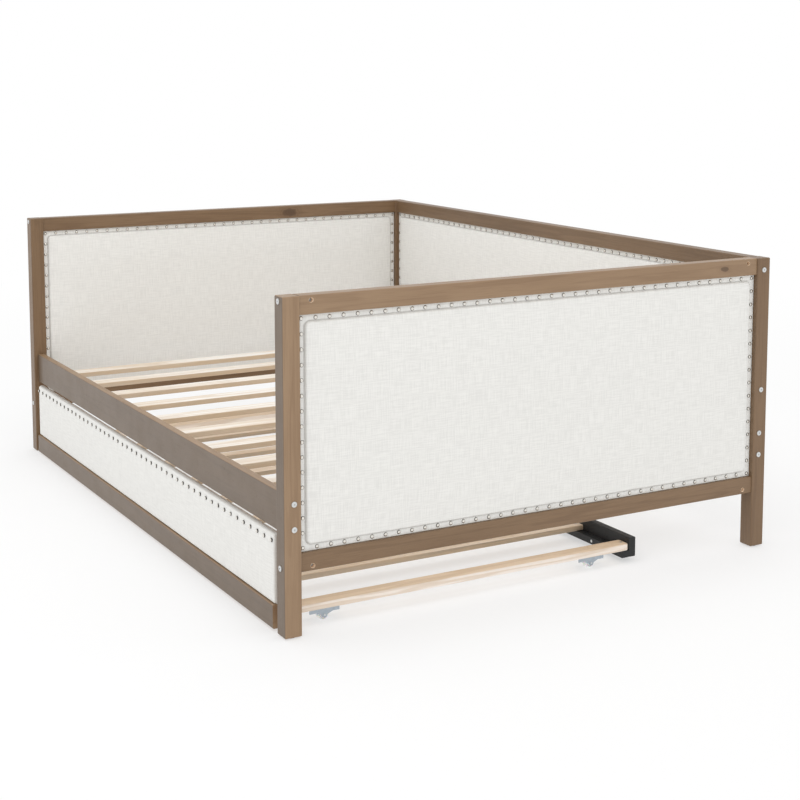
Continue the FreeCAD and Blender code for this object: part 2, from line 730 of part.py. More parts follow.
def build_trundle_rails():
    """The trundle's front rail and black rear rail, each with a ledger for the slats."""
    front_ledger_face = "(%s + sizes.trundle_ledger_width)" % FRONT_RAIL_REAR_Y
    rear_ledger_face = "(%s - sizes.trundle_ledger_width)" % REAR_RAIL_Y
    rows = (
        ("front", front_ledger_face, ALONG_Y * -1, FRONT_RAIL_REAR_Y, TRUNDLE_FRONT_Y, FRONT_RAIL_Z),
        ("rear", rear_ledger_face, ALONG_Y, rear_ledger_face, REAR_RAIL_Y, TRUNDLE_LEDGER_Z),
    )
    for end, screw_face, inward, ledger_y, rail_y, rail_z in rows:
        screws = trundle_ledger_screw_points(screw_face)
        rail = "trundle_%s_rail" % end
        size = (TRUNDLE_WIDTH, "sizes.%s_rail_thickness" % end, "sizes.%s_rail_height" % end)
        corner = ("-" + TRUNDLE_END_X, rail_y, rail_z)
        drills = []
        for point in screws:
            drills += screw_drills(point, inward, "sizes.ledger_screw_length", sunk=False)
        drilled(rail, timber(rail, size, corner, (ALONG_X,)), drills)

        ledger = "trundle_%s_ledger" % end
        ledger_size = (TRUNDLE_WIDTH, "sizes.trundle_ledger_width", "sizes.trundle_ledger_height")
        ledger_corner = ("-" + TRUNDLE_END_X, ledger_y, TRUNDLE_LEDGER_Z)
        blank = block(ledger + "_blank", ledger_size, ledger_corner)
        drills = []
        for point in screws:
            drills += screw_drills(point, inward, "sizes.ledger_screw_length")
        for x in trundle_slat_positions():
            thickness = "sizes.trundle_slat_thickness"
            front, rear = trundle_screw_points(x, thickness)
            point = front if end == "front" else rear
            drills += screw_drills(point, ALONG_Z * -1, "sizes.trundle_screw_length", sunk=False)
        drilled(ledger, blank, drills)


def caster_screw_points(x):
    """The screws that hold the casters of one beam, on the underside of the plates."""
    z = "(%s - sizes.caster_metal)" % TRUNDLE_SLAT_Z
    points = []
    for y_sign in (-1, 1):
        for step in (-1, 1):
            y = "(%s + %d * sizes.caster_spread + %d * sizes.caster_screw_spacing / 2)"
            points.append((x, y % (TRUNDLE_MIDDLE_Y, y_sign, step), z))
    return points


def trundle_stick(name, x, thickness, **rounding):
    """One stick of the trundle's deck with its screw holes, not yet kept."""
    size = ("sizes.trundle_slat_width", TRUNDLE_SLAT_LENGTH, thickness)
    corner = ("%s - sizes.trundle_slat_width / 2" % x, FRONT_RAIL_REAR_Y, TRUNDLE_SLAT_Z)
    blank = timber(name, size, corner, (ALONG_Y,), **rounding)
    drills = []
    for point in trundle_screw_points(x, thickness):
        drills += screw_drills(point, ALONG_Z * -1, "sizes.trundle_screw_length")
    return blank, drills


def build_trundle_slats():
    """The deck of the trundle: a thicker beam at each end, well rounded, which carries the
    casters, and slats between them."""
    positions = trundle_slat_positions()
    rounding = {"round_by": "sizes.caster_beam_round", "corner_round": "sizes.caster_beam_corner"}
    for name, x in (("left_caster_beam", positions[0]), ("right_caster_beam", positions[-1])):
        blank, drills = trundle_stick(name, x, "sizes.caster_beam_thickness", **rounding)
        for point in caster_screw_points(x):
            drills += screw_drills(point, ALONG_Z, "sizes.caster_screw_length", sunk=False)
        drilled(name, blank, drills)
    slats = []
    for number, x in enumerate(positions[1:-1], start=1):
        name = "trundle_slat_%d" % number
        blank, drills = trundle_stick(name, x, "sizes.trundle_slat_thickness")
        slats.append(cut_holes(name, blank, drills))
    together = doc.addObject("Part::Compound", "deck")
    together.Links = slats
    keep(together, "trundle_slats")


def build_trundle_front():
    """The padded panel that stands on the trundle's front rail."""
    board_size = (
        "(%s - 2 * sizes.fabric_thickness)" % TRUNDLE_WIDTH,
        "sizes.board_thickness",
        "(%s - sizes.fabric_thickness)" % FRONT_PANEL_HEIGHT,
    )
    corner = ("-%s / 2" % board_size[0], FRONT_BOARD_Y, FRONT_PANEL_Z)
    keep(block("trundle_front_board", board_size, corner), "trundle_front_board")
    middle_z = "(%s + %s / 2)" % (FRONT_PANEL_Z, FRONT_PANEL_HEIGHT)
    centre = ("0", FRONT_BOARD_Y, middle_z)
    build_pad("trundle_front_pad", TRUNDLE_WIDTH, FRONT_PANEL_HEIGHT, centre, "front", FRONT_SWELL)
    inset = value("sizes.nail_inset + sizes.front_pad_border")
    columns = nail_run(value(TRUNDLE_WIDTH) - 2 * inset, value("sizes.front_nail_pitch"))
    height = value(FRONT_PANEL_HEIGHT) / 2 - value("sizes.front_nail_drop")
    face = ("0", "%s - sizes.front_pad_thickness" % FRONT_BOARD_Y, middle_z)
    group("trundle_front_nails", nails_on([(u, height) for u in columns], face, "front"))


# ---------------------------------------------------------------- casters


def caster_places():
    """The four casters: name, X and Y of the wheel's middle."""
    places = []
    for side, x_sign in SIDES:
        for end, y_sign in ENDS:
            x = "(%d * %s)" % (x_sign, CASTER_BEAM_X)
            y = "(%s + %d * sizes.caster_spread)" % (TRUNDLE_MIDDLE_Y, y_sign)
            places.append(("%s_%s" % (side, end), x, y))
    return places


def caster_bracket():
    """One stamped bracket, with its axle at the origin: a channel, open downwards, whose sides
    taper down to round cheeks about the axle, and a screw hole near each end of its plate."""
    half_length = value("sizes.caster_plate_length / 2")
    half_width = value("sizes.caster_plate_width / 2")
    metal = value("sizes.caster_metal")
    past = value(OVERRUN)
    top = value("%s - sizes.caster_wheel_radius" % TRUNDLE_SLAT_Z)
    low = top - value("sizes.caster_flange_height")
    low_corner = Vector(-half_width, -half_length, low)
    outline = Part.makeBox(2 * half_width, 2 * half_length, top - low, low_corner)
    radius = value("sizes.caster_cheek_radius")
    cheek = Part.makeCylinder(radius, 2 * half_width, Vector(-half_width, 0, 0), ALONG_X)
    reach = value("sizes.caster_cheek_reach")
    corners = [(-reach, low), (reach, low), (radius, 0), (-radius, 0), (-reach, low)]
    taper = Part.makePolygon([Vector(-half_width, y, z) for y, z in corners])
    drop = Part.Face(taper).extrude(Vector(2 * half_width, 0, 0))
    inside = Part.makeBox(
        2 * (half_width - metal),
        2 * (half_length + past),
        top - metal + radius + past,
        Vector(metal - half_width, -half_length - past, -radius - past),
    )
    bracket = outline.fuse(cheek).fuse(drop).cut(inside)
    eye_radius = value("sizes.caster_axle_radius")
    eye = Part.makeCylinder(eye_radius, 4 * half_width, Vector(-2 * half_width, 0, 0), ALONG_X)
    bracket = bracket.cut(eye)
    screw_radius = value("sizes.screw_radius + sizes.screw_play")
    for step in (-1, 1):
        y = step * value("sizes.caster_screw_spacing / 2")
        bracket = bracket.cut(Part.makeCylinder(screw_radius, 3 * metal, Vector(0, y, top - 2 * metal)))
    return bracket.removeSplitter()


def build_casters():
    """Brackets under the caster beams, riveted axles through them and a wheel on each axle."""
    brackets = []
    axles = []
    bracket = caster_bracket()
    half_axle = value("sizes.caster_plate_width / 2") + value("sizes.caster_metal")
    axle_radius = value("sizes.caster_axle_radius")
    axle_z = value("sizes.caster_wheel_radius")
    for name, x, y in caster_places():
        middle = Vector(value(x), value(y), axle_z)
        brackets.append(bracket.translated(middle))
        axles.append(Part.makeCylinder(axle_radius, 2 * half_axle, middle - ALONG_X * half_axle, ALONG_X))
        build_wheel(name + "_wheel", x, y)
    group("caster_brackets", brackets)
    group("caster_axles", axles)


def build_wheel(name, x, y):
    """A plastic wheel with rounded tread edges, bored to run on its axle."""
    half_width = "sizes.caster_wheel_width / 2"
    disc = doc.addObject("Part::Cylinder", name + "_disc")
    disc.setExpression("Radius", "sizes.caster_wheel_radius")
    disc.setExpression("Height", "sizes.caster_wheel_width")
    disc.Placement = FreeCAD.Placement(Vector(), turned_to(ALONG_X))
    place(disc, "%s - %s" % (x, half_width), y, "sizes.caster_wheel_radius")
    doc.recompute()
    tread = doc.addObject("Part::Fillet", name + "_tread")
    tread.Base = disc
    rounding = value("sizes.caster_tread_round")
    edges = enumerate(disc.Shape.Edges, start=1)
    tread.Edges = [(number, rounding, rounding) for number, edge in edges if edge.Closed]
    eye = bore(
        ("%s - sizes.caster_wheel_width" % x, y, "sizes.caster_wheel_radius"),
        ALONG_X,
        "sizes.caster_axle_radius + sizes.axle_play",
        "2 * sizes.caster_wheel_width",
    )
    wheel = doc.addObject("Part::Cut", name + "_cut")
    wheel.Base = tread
    wheel.Tool = eye
    keep(wheel, name)


# ---------------------------------------------------------------- fasteners


def on_line(point, direction):
    """A placement at a point of the sheet whose +Z runs along a direction."""
    return FreeCAD.Placement(Vector(*[value(text) for text in point]), turned_to(direction))


def bolt_shape():
    """A bolt with a flat round head and a hexagonal socket, its head's underside at the origin."""
    head_height = value("sizes.bolt_head_height")
    head = Part.makeCylinder(value("sizes.bolt_head_radius"), head_height, Vector(0, 0, -head_height))
    rim = [
        edge
        for edge in head.Edges
        if edge.Closed and abs(edge.Vertexes[0].Z + head_height) < TOLERANCE
    ]
    head = head.makeFillet(value("sizes.bolt_head_round"), rim)
    corner = value("sizes.socket_across_flats") / math.sqrt(3)
    turns = [math.radians(60 * step) for step in range(7)]
    outline = [Vector(corner * math.cos(turn), corner * math.sin(turn), -head_height) for turn in turns]
    socket = Part.Face(Part.makePolygon(outline)).extrude(Vector(0, 0, value("sizes.socket_depth")))
    shank = Part.makeCylinder(value("sizes.bolt_radius"), value(BOLT_LENGTH))
    return head.fuse(shank).cut(socket).removeSplitter()


def barrel_nut_shape():
    """A cross-dowel nut along +Z, centred at the origin, with a smooth hole for its bolt."""
    half = value(NUT_HALF)
    nut = Part.makeCylinder(value("sizes.barrel_nut_radius"), 2 * half, Vector(0, 0, -half))
    radius = value("sizes.bolt_radius")
    across = 2 * value("sizes.barrel_nut_radius")
    return nut.cut(Part.makeCylinder(radius, 2 * across, Vector(-across, 0, 0), ALONG_X))


def build_frame_bolts():
    """The bolts and barrel nuts that hold rails to posts."""
    bolt = bolt_shape()
    nut = barrel_nut_shape()
    bolts = []
    nuts = []
    for _, _, point, direction, outward in JOINTS:
        bolts.append(bolt.transformed(on_line(point, direction).toMatrix(), copy=True))
        turn = FreeCAD.Rotation(direction, Vector(), outward, "ZXY")
        spot = shifted(point, direction, NUT_DISTANCE)
        placed = FreeCAD.Placement(Vector(*[value(text) for text in spot]), turn)
        nuts.append(nut.transformed(placed.toMatrix(), copy=True))
    group("frame_bolts", bolts)
    group("barrel_nuts", nuts)


def screw_shape(length, sunk=True):
    """A screw along +Z with a flat head, sunk flush at the origin or standing on it."""
    head_height = value("sizes.screw_head_height")
    start = 0 if sunk else -head_height
    head = Part.makeCylinder(value("sizes.screw_head_radius"), head_height, Vector(0, 0, start))
    shank = Part.makeCylinder(value("sizes.screw_radius"), value(length))
    return head.fuse(shank).removeSplitter()


def screws_at(points, direction, length, sunk=True):
    """A screw of one length at each point."""
    screw = screw_shape(length, sunk)
    return [screw.transformed(on_line(point, direction).toMatrix(), copy=True) for point in points]


def build_screws():
    """Screws through slats and ledgers of the bed, and of the trundle with its casters."""
    downward = ALONG_Z * -1
    bed = screws_at(slat_screw_points(), downward, "sizes.slat_screw_length")
    for _, y_sign in ENDS:
        bed += screws_at(ledger_screw_points(y_sign), ALONG_Y * y_sign, "sizes.ledger_screw_length")
    group("bed_screws", bed)

    trundle = []
    positions = trundle_slat_positions()
    for x in positions:
        beam = x in (positions[0], positions[-1])
        thickness = "sizes.caster_beam_thickness" if beam else "sizes.trundle_slat_thickness"
        points = trundle_screw_points(x, thickness)
        trundle += screws_at(points, downward, "sizes.trundle_screw_length")
        if beam:
            points = caster_screw_points(x)
            trundle += screws_at(points, ALONG_Z, "sizes.caster_screw_length", sunk=False)
    front_face = "(%s + sizes.trundle_ledger_width)" % FRONT_RAIL_REAR_Y
    rear_face = "(%s - sizes.trundle_ledger_width)" % REAR_RAIL_Y
    length = "sizes.ledger_screw_length"
    trundle += screws_at(trundle_ledger_screw_points(front_face), ALONG_Y * -1, length)
    trundle += screws_at(trundle_ledger_screw_points(rear_face), ALONG_Y, length)
    group("trundle_screws", trundle)


# ---------------------------------------------------------------- build, check and write


def check_document():
    """Stop if any object failed or any sub-part's solid isn't sound."""
    for item in doc.Objects:
        if "Invalid" in item.State or "Error" in item.State:
            raise RuntimeError("object failed: %s %s" % (item.Name, item.State))
    for name, piece in parts.items():
        shape = piece.Shape
        if shape.isNull() or not shape.isValid() or not shape.Solids:
            raise RuntimeError("shape not sound: " + name)


def main():
    build_posts()
    build_glides()
    build_arm_rails()
    build_back_rails()
    build_side_rails()
    build_slats()
    build_arm_panels()
    build_back_panel()
    build_trundle_rails()
    build_trundle_slats()
    build_trundle_front()
    build_casters()
    build_frame_bolts()
    build_screws()
    doc.recompute()
    check_document()
    for name, piece in parts.items():
        piece.Shape.exportStep("parts/%s.step" % name)
    print("wrote %d sub-parts" % len(parts))


main()
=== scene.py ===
"""Looks of the upholstered daybed and its roll-out trundle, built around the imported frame.

Everything is in metres in the frame's own axes: X along the bed towards the right arm, Y towards
the back, Z up. The wooden sticks, slats, bolts and brackets are the frame's own pieces with wood
and metal finishes; the padded faces, nail heads and wheels are built here and stand for theirs.
"""

import json
import math

import bpy
import numpy as np
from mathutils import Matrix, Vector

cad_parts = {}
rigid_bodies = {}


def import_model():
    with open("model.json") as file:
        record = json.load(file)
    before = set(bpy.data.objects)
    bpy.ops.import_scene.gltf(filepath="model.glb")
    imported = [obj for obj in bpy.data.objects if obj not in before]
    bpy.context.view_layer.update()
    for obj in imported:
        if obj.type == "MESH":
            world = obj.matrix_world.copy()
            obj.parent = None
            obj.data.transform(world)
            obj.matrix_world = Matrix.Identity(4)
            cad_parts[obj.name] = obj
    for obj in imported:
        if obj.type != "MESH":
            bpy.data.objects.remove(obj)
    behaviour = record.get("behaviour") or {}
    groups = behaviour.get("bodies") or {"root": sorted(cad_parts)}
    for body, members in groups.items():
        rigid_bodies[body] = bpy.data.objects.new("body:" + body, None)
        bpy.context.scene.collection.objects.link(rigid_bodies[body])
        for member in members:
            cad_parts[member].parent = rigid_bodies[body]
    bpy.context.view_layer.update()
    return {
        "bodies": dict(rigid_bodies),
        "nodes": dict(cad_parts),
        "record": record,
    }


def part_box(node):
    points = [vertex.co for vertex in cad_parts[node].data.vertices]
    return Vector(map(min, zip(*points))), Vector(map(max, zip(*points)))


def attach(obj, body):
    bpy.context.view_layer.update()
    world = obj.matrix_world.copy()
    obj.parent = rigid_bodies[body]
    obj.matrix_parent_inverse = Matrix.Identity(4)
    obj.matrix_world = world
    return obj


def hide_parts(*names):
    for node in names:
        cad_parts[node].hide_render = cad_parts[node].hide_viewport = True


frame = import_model()

MM = 0.001
X, Y, Z = 0, 1, 2


# ---------------------------------------------------------------- camera, floor and light

CAMERA_PLACE = (4.140, -2.175, 1.326)
CAMERA_TURN = 60.67
CAMERA_DIP = 6.59
CAMERA_LENS = 69.58
CAMERA_SHIFT = -0.20


def make_camera():
    """Looks at the right arm from its front corner, at about the height of a standing viewer."""
    data = bpy.data.cameras.new("camera")
    data.sensor_width = 36.0
    data.lens = CAMERA_LENS
    data.shift_y = CAMERA_SHIFT
    camera = bpy.data.objects.new("camera", data)
    camera.location = CAMERA_PLACE
    camera.rotation_euler = (math.radians(90 - CAMERA_DIP), 0, math.radians(CAMERA_TURN))
    bpy.context.scene.collection.objects.link(camera)
    bpy.context.scene.camera = camera


def make_area_light(name, place, target, size, power, colour):
    """A large soft light that faces a point."""
    data = bpy.data.lights.new(name, "AREA")
    data.shape = "RECTANGLE"
    data.size, data.size_y = size
    data.energy = power
    data.color = colour
    light = bpy.data.objects.new(name, data)
    light.location = place
    aim = Vector(target) - Vector(place)
    light.rotation_euler = aim.to_track_quat("-Z", "Y").to_euler()
    bpy.context.scene.collection.objects.link(light)


def make_lights():
    """A soft key from above the right arm and two weak fills, from
    the front and into the well."""
    make_area_light("key", (3.2, -1.6, 3.6), (0, 0, 0.3), (3.0, 2.4), 14, (1.0, 0.995, 0.985))
    make_area_light("front_fill", (-1.2, -4.2, 1.8), (0, 0, 0.3), (3.0, 2.0), 6, (0.98, 0.99, 1.0))
    make_area_light("well_fill", (0.5, -0.4, 2.4), (-1.0, 0.4, 0.4), (1.4, 1.0), 6, (0.98, 0.99, 1.0))


def make_world():
    """White surroundings: even light that is a little weaker from below the horizon."""
    world = bpy.data.worlds.new("studio")
    bpy.context.scene.world = world
    world.use_nodes = True
    tree = Tree(world.node_tree)
    tree.clear()
    direction = tree.add("ShaderNodeTexCoord").outputs["Generated"]
    height = tree.separate(direction)[Z]
    strength = tree.remap(height, -0.3, 0.9, 0.80, 1.0)
    lit = tree.add("ShaderNodeBackground", {"Color": (1, 1, 1, 1), "Strength": strength})
    seen = tree.add("ShaderNodeBackground", {"Color": (1, 1, 1, 1), "Strength": 1.0})
    camera_ray = tree.add("ShaderNodeLightPath").outputs["Is Camera Ray"]
    mixed = tree.add("ShaderNodeMixShader", {0: camera_ray, 1: lit.outputs[0], 2: seen.outputs[0]})
    tree.add("ShaderNodeOutputWorld", {"Surface": mixed.outputs[0]})


FLOOR_HALF = 60.0
FLOOR_CLEAR_FROM = 2.2
FLOOR_WHITE_BY = 5.0


def make_floor():
    """A plain pale floor that fades to white away from the bed, so that no horizon shows."""
    half = FLOOR_HALF
    corners = [(-half, -half, 0), (half, -half, 0), (half, half, 0), (-half, half, 0)]
    mesh = bpy.data.meshes.new("floor")
    mesh.from_pydata(corners, [], [(0, 1, 2, 3)])
    floor = bpy.data.objects.new("floor", mesh)
    bpy.context.scene.collection.objects.link(floor)
    material = bpy.data.materials.new("pale_floor")
    material.use_nodes = True
    tree = Tree(material.node_tree)
    tree.clear()
    place = tree.add("ShaderNodeTexCoord").outputs["Object"]
    away = tree.length(place)
    whiteness = tree.remap(away, FLOOR_CLEAR_FROM, FLOOR_WHITE_BY, 0.0, 1.0)
    plain = tree.add("ShaderNodeBsdfDiffuse", {"Color": (0.46, 0.46, 0.46, 1)})
    glow = tree.add("ShaderNodeEmission", {"Color": (1, 1, 1, 1), "Strength": 0.52})
    lifted = tree.add("ShaderNodeAddShader", {0: plain.outputs[0], 1: glow.outputs[0]})
    white = tree.add("ShaderNodeEmission", {"Color": (1, 1, 1, 1), "Strength": 1.0})
    mixed = tree.add("ShaderNodeMixShader", {0: whiteness, 1: lifted.outputs[0], 2: white.outputs[0]})
    tree.add("ShaderNodeOutputMaterial", {"Surface": mixed.outputs[0]})
    mesh.materials.append(material)


# ---------------------------------------------------------------- node helpers


def colour(red, green, blue):
    """A colour given as it looks on a screen, 0 to 255 each, as the linear value nodes take."""
    linear = []
    for level in (red, green, blue):
        level = level / 255
        linear.append(level / 12.92 if level <= 0.04045 else ((level + 0.055) / 1.055) ** 2.4)
    return (*linear, 1.0)


class Tree:
    """Short ways to add nodes to a node tree. Inputs are values or other nodes' outputs."""

    def __init__(self, tree):
        self.tree = tree

    def clear(self):
        self.tree.nodes.clear()

    def add(self, kind, inputs=None, **settings):
        made = self.tree.nodes.new(kind)
        for name, setting in settings.items():
            setattr(made, name, setting)
        for name, given in (inputs or {}).items():
            self.feed(made.inputs[name], given)
        return made

    def feed(self, socket, given):
        if isinstance(given, bpy.types.NodeSocket):
            self.tree.links.new(given, socket)
        else:
            socket.default_value = given

    def math(self, operation, first, second=0.0, clamp=False):
        made = self.add("ShaderNodeMath", {0: first, 1: second}, operation=operation)
        made.use_clamp = clamp
        return made.outputs[0]

    def vector(self, operation, first, second):
        return self.add("ShaderNodeVectorMath", {0: first, 1: second}, operation=operation).outputs[0]

    def length(self, vector):
        return self.add("ShaderNodeVectorMath", {0: vector}, operation="LENGTH").outputs["Value"]

    def separate(self, vector):
        return self.add("ShaderNodeSeparateXYZ", {0: vector}).outputs

    def combine(self, first, second, third):
        return self.add("ShaderNodeCombineXYZ", {0: first, 1: second, 2: third}).outputs[0]

    def remap(self, given, low, high, to_low=0.0, to_high=1.0):
        inputs = {"Value": given, "From Min": low, "From Max": high, "To Min": to_low, "To Max": to_high}
        return self.add("ShaderNodeMapRange", inputs, interpolation_type="SMOOTHSTEP").outputs[0]

    def noise(self, vector, scale, detail=2.0, distortion=0.0):
        inputs = {"Vector": vector, "Scale": scale, "Detail": detail, "Distortion": distortion}
        return self.add("ShaderNodeTexNoise", inputs).outputs[0]

    def mix(self, factor, first, second, blend="MIX"):
        made = self.add("ShaderNodeMix", data_type="RGBA", blend_type=blend)
        for index, given in ((0, factor), (6, first), (7, second)):
            self.feed(made.inputs[index], given)
        return made.outputs[2]


def new_group(name, inputs, outputs):
    """An empty shader node group with named sockets: its tree, its inputs and its output node."""
    group = bpy.data.node_groups.new(name, "ShaderNodeTree")
    for label, kind, default in inputs:
        socket = group.interface.new_socket(label, in_out="INPUT", socket_type=kind)
        socket.default_value = default
    for label, kind in outputs:
        group.interface.new_socket(label, in_out="OUTPUT", socket_type=kind)
    tree = Tree(group)
    given = tree.add("NodeGroupInput").outputs
    result = tree.add("NodeGroupOutput").inputs
    return tree, given, result


def use_group(tree, name, inputs):
    """Places a node group in a material, with its own values."""
    made = tree.add("ShaderNodeGroup", node_tree=bpy.data.node_groups[name])
    for label, given in inputs.items():
        tree.feed(made.inputs[label], given)
    return made.outputs


NUMBER = "NodeSocketFloat"
PLACE = "NodeSocketVector"


# ---------------------------------------------------------------- shared surface effects


def make_wood_grain_group():
    """Growth lines, fibres and broad patches of a stick whose grain runs along the vector's X."""
    inputs = (
        ("Place", PLACE, (0, 0, 0)),
        ("Line spacing", NUMBER, 0.02),
        ("Line count", NUMBER, 5.0),
    )
    outputs = (("Lines", NUMBER), ("Fibres", NUMBER), ("Patches", NUMBER))
    tree, given, result = new_group("wood_grain", inputs, outputs)
    per_metre = tree.math("DIVIDE", 1.0, given["Line spacing"])
    stretched = tree.vector("MULTIPLY", given["Place"], (0.055, 1.0, 1.0))
    scaled = tree.add("ShaderNodeVectorMath", {0: stretched, 3: per_metre}, operation="SCALE").outputs[0]
    field = tree.noise(scaled, 1.0, detail=1.5, distortion=0.35)
    turns = tree.math("MULTIPLY", field, tree.math("MULTIPLY", given["Line count"], 2 * math.pi))
    wave = tree.math("SINE", turns)
    lines = tree.remap(wave, 0.1, 1.0)
    fibres = tree.noise(tree.vector("MULTIPLY", given["Place"], (14.0, 620.0, 620.0)), 1.0, detail=3.0)
    patches = tree.noise(tree.vector("MULTIPLY", given["Place"], (1.7, 9.0, 9.0)), 1.0, detail=2.0)
    tree.feed(result["Lines"], lines)
    tree.feed(result["Fibres"], fibres)
    tree.feed(result["Patches"], patches)


def make_knot_group():
    """A knot: a dark oval eye, wider along the grain, and the ring of grain that flows round it."""
    inputs = (
        ("Place", PLACE, (0, 0, 0)),
        ("Centre", PLACE, (0, 0, 0)),
        ("Radius", NUMBER, 0.012),
    )
    tree, given, result = new_group("knot", inputs, (("Eye", NUMBER), ("Halo", NUMBER)))
    offset = tree.vector("SUBTRACT", given["Place"], given["Centre"])
    squeezed = tree.vector("MULTIPLY", offset, (0.5, 1.0, 1.0))
    wobble = tree.noise(tree.vector("MULTIPLY", offset, (60.0, 90.0, 90.0)), 1.0, detail=2.0)
    away = tree.math("DIVIDE", tree.length(squeezed), given["Radius"])
    away = tree.math("ADD", away, tree.math("MULTIPLY", tree.math("SUBTRACT", wobble, 0.5), 0.9))
    rings = tree.math("ABSOLUTE", tree.math("SINE", tree.math("MULTIPLY", away, 8.0)))
    fade = tree.remap(away, 1.0, 2.4, 1.0, 0.0)
    tree.feed(result["Eye"], tree.remap(away, 0.75, 1.15, 1.0, 0.0))
    tree.feed(result["Halo"], tree.math("MULTIPLY", fade, rings))


def make_linen_group():
    """A plain weave of uneven yarns: its tone, with threads, slubs and broad unevenness, and its
    height. The cloth lies in the vector's X and Y."""
    inputs = (
        ("Place", PLACE, (0, 0, 0)),
        ("Yarn", NUMBER, 0.0011),
        ("Slub length", NUMBER, 0.022),
    )
    outputs = (("Tone", NUMBER), ("Height", NUMBER))
    tree, given, result = new_group("linen_weave", inputs, outputs)
    across, along, _ = tree.separate(given["Place"])
    drift = tree.noise(given["Place"], 9.0, detail=2.0)
    drift = tree.math("MULTIPLY", tree.math("SUBTRACT", drift, 0.5), 0.004)
    full_turn = tree.math("DIVIDE", math.pi, given["Yarn"])
    warp = tree.math("SINE", tree.math("MULTIPLY", tree.math("ADD", across, drift), full_turn))
    weft = tree.math("SINE", tree.math("MULTIPLY", tree.math("ADD", along, drift), full_turn))
    threads = tree.math("MULTIPLY", tree.math("MULTIPLY", warp, weft), 0.5)
    threads = tree.math("ADD", threads, 0.5)
    long_way = tree.math("DIVIDE", 1.0, given["Slub length"])
    short_way = tree.math("DIVIDE", 0.4, given["Yarn"])
    warp_place = tree.combine(
        tree.math("MULTIPLY", across, short_way), tree.math("MULTIPLY", along, long_way), 0.0
    )
    weft_place = tree.combine(
        tree.math("MULTIPLY", across, long_way), tree.math("MULTIPLY", along, short_way), 7.0
    )
    slubs = tree.math("ADD", tree.noise(warp_place, 1.0, detail=2.0), tree.noise(weft_place, 1.0, detail=2.0))
    slubs = tree.math("MULTIPLY", slubs, 0.5)
    broad = tree.noise(given["Place"], 5.0, detail=2.0)
    tone = tree.math("ADD", tree.remap(slubs, 0.3, 0.7), tree.math("MULTIPLY", broad, 0.15))
    tone = tree.math("ADD", tone, tree.math("MULTIPLY", threads, 0.25))
    tree.feed(result["Tone"], tree.math("DIVIDE", tone, 1.4, clamp=True))
    tree.feed(result["Height"], tree.math("ADD", threads, tree.math("MULTIPLY", slubs, 1.6)))


def make_wear_group():
    """Fine scuffs and a thin uneven film of handling, as a mask from 0, clean, to 1."""
    inputs = (("Place", PLACE, (0, 0, 0)), ("Size", NUMBER, 0.05), ("Amount", NUMBER, 0.5))
    tree, given, result = new_group("handling_wear", inputs, (("Mask", NUMBER),))
    per_metre = tree.math("DIVIDE", 1.0, given["Size"])
    scaled = tree.add("ShaderNodeVectorMath", {0: given["Place"], 3: per_metre}, operation="SCALE").outputs[0]
    film = tree.noise(scaled, 1.0, detail=4.0)
    scuffs = tree.noise(scaled, 9.0, detail=3.0, distortion=1.2)
    scuffs = tree.remap(scuffs, 0.58, 0.72)
    mask = tree.math("ADD", film, tree.math("MULTIPLY", scuffs, 0.5))
    tree.feed(result["Mask"], tree.math("MULTIPLY", mask, given["Amount"], clamp=True))


# ---------------------------------------------------------------- finishes

GRAIN_ORDER = {X: (X, Y, Z), Y: (Y, X, Z), Z: (Z, X, Y)}


def new_finish(name):
    """A material with an empty tree and its object coordinates."""
    material = bpy.data.materials.new(name)
    material.use_nodes = True
    tree = Tree(material.node_tree)
    tree.clear()
    return material, tree, tree.add("ShaderNodeTexCoord").outputs


def surface(tree, **inputs):
    """Ends a material with a Principled shader."""
    sockets = {label.replace("_", " "): given for label, given in inputs.items()}
    shader = tree.add("ShaderNodeBsdfPrincipled", sockets)
    tree.add("ShaderNodeOutputMaterial", {"Surface": shader.outputs[0]})


def grain_place(tree, coordinates, grain):
    """Object coordinates turned so that X runs along the grain."""
    axes = tree.separate(coordinates["Object"])
    return tree.combine(*[axes[index] for index in GRAIN_ORDER[grain]])


STAIN = (colour(161, 133, 104), colour(149, 121, 92), colour(121, 93, 66))
# A darker copy of the stain: painted shade for the parts that lie in shade.
PAINTED_SHADE_STAIN = (colour(134, 107, 79), colour(120, 94, 67), colour(92, 66, 42))
STAIN_KNOT = colour(70, 48, 30)
# Painted reflection: the grey that front and back faces are mixed to, and how much of it on the lit stain and
# on its shaded copy.
PAINTED_SHEEN_GREY = colour(88, 79, 70)
PAINTED_SHEEN_SHARE = 0.72
SHADED_COPY_SHEEN_SHARE = 0.15


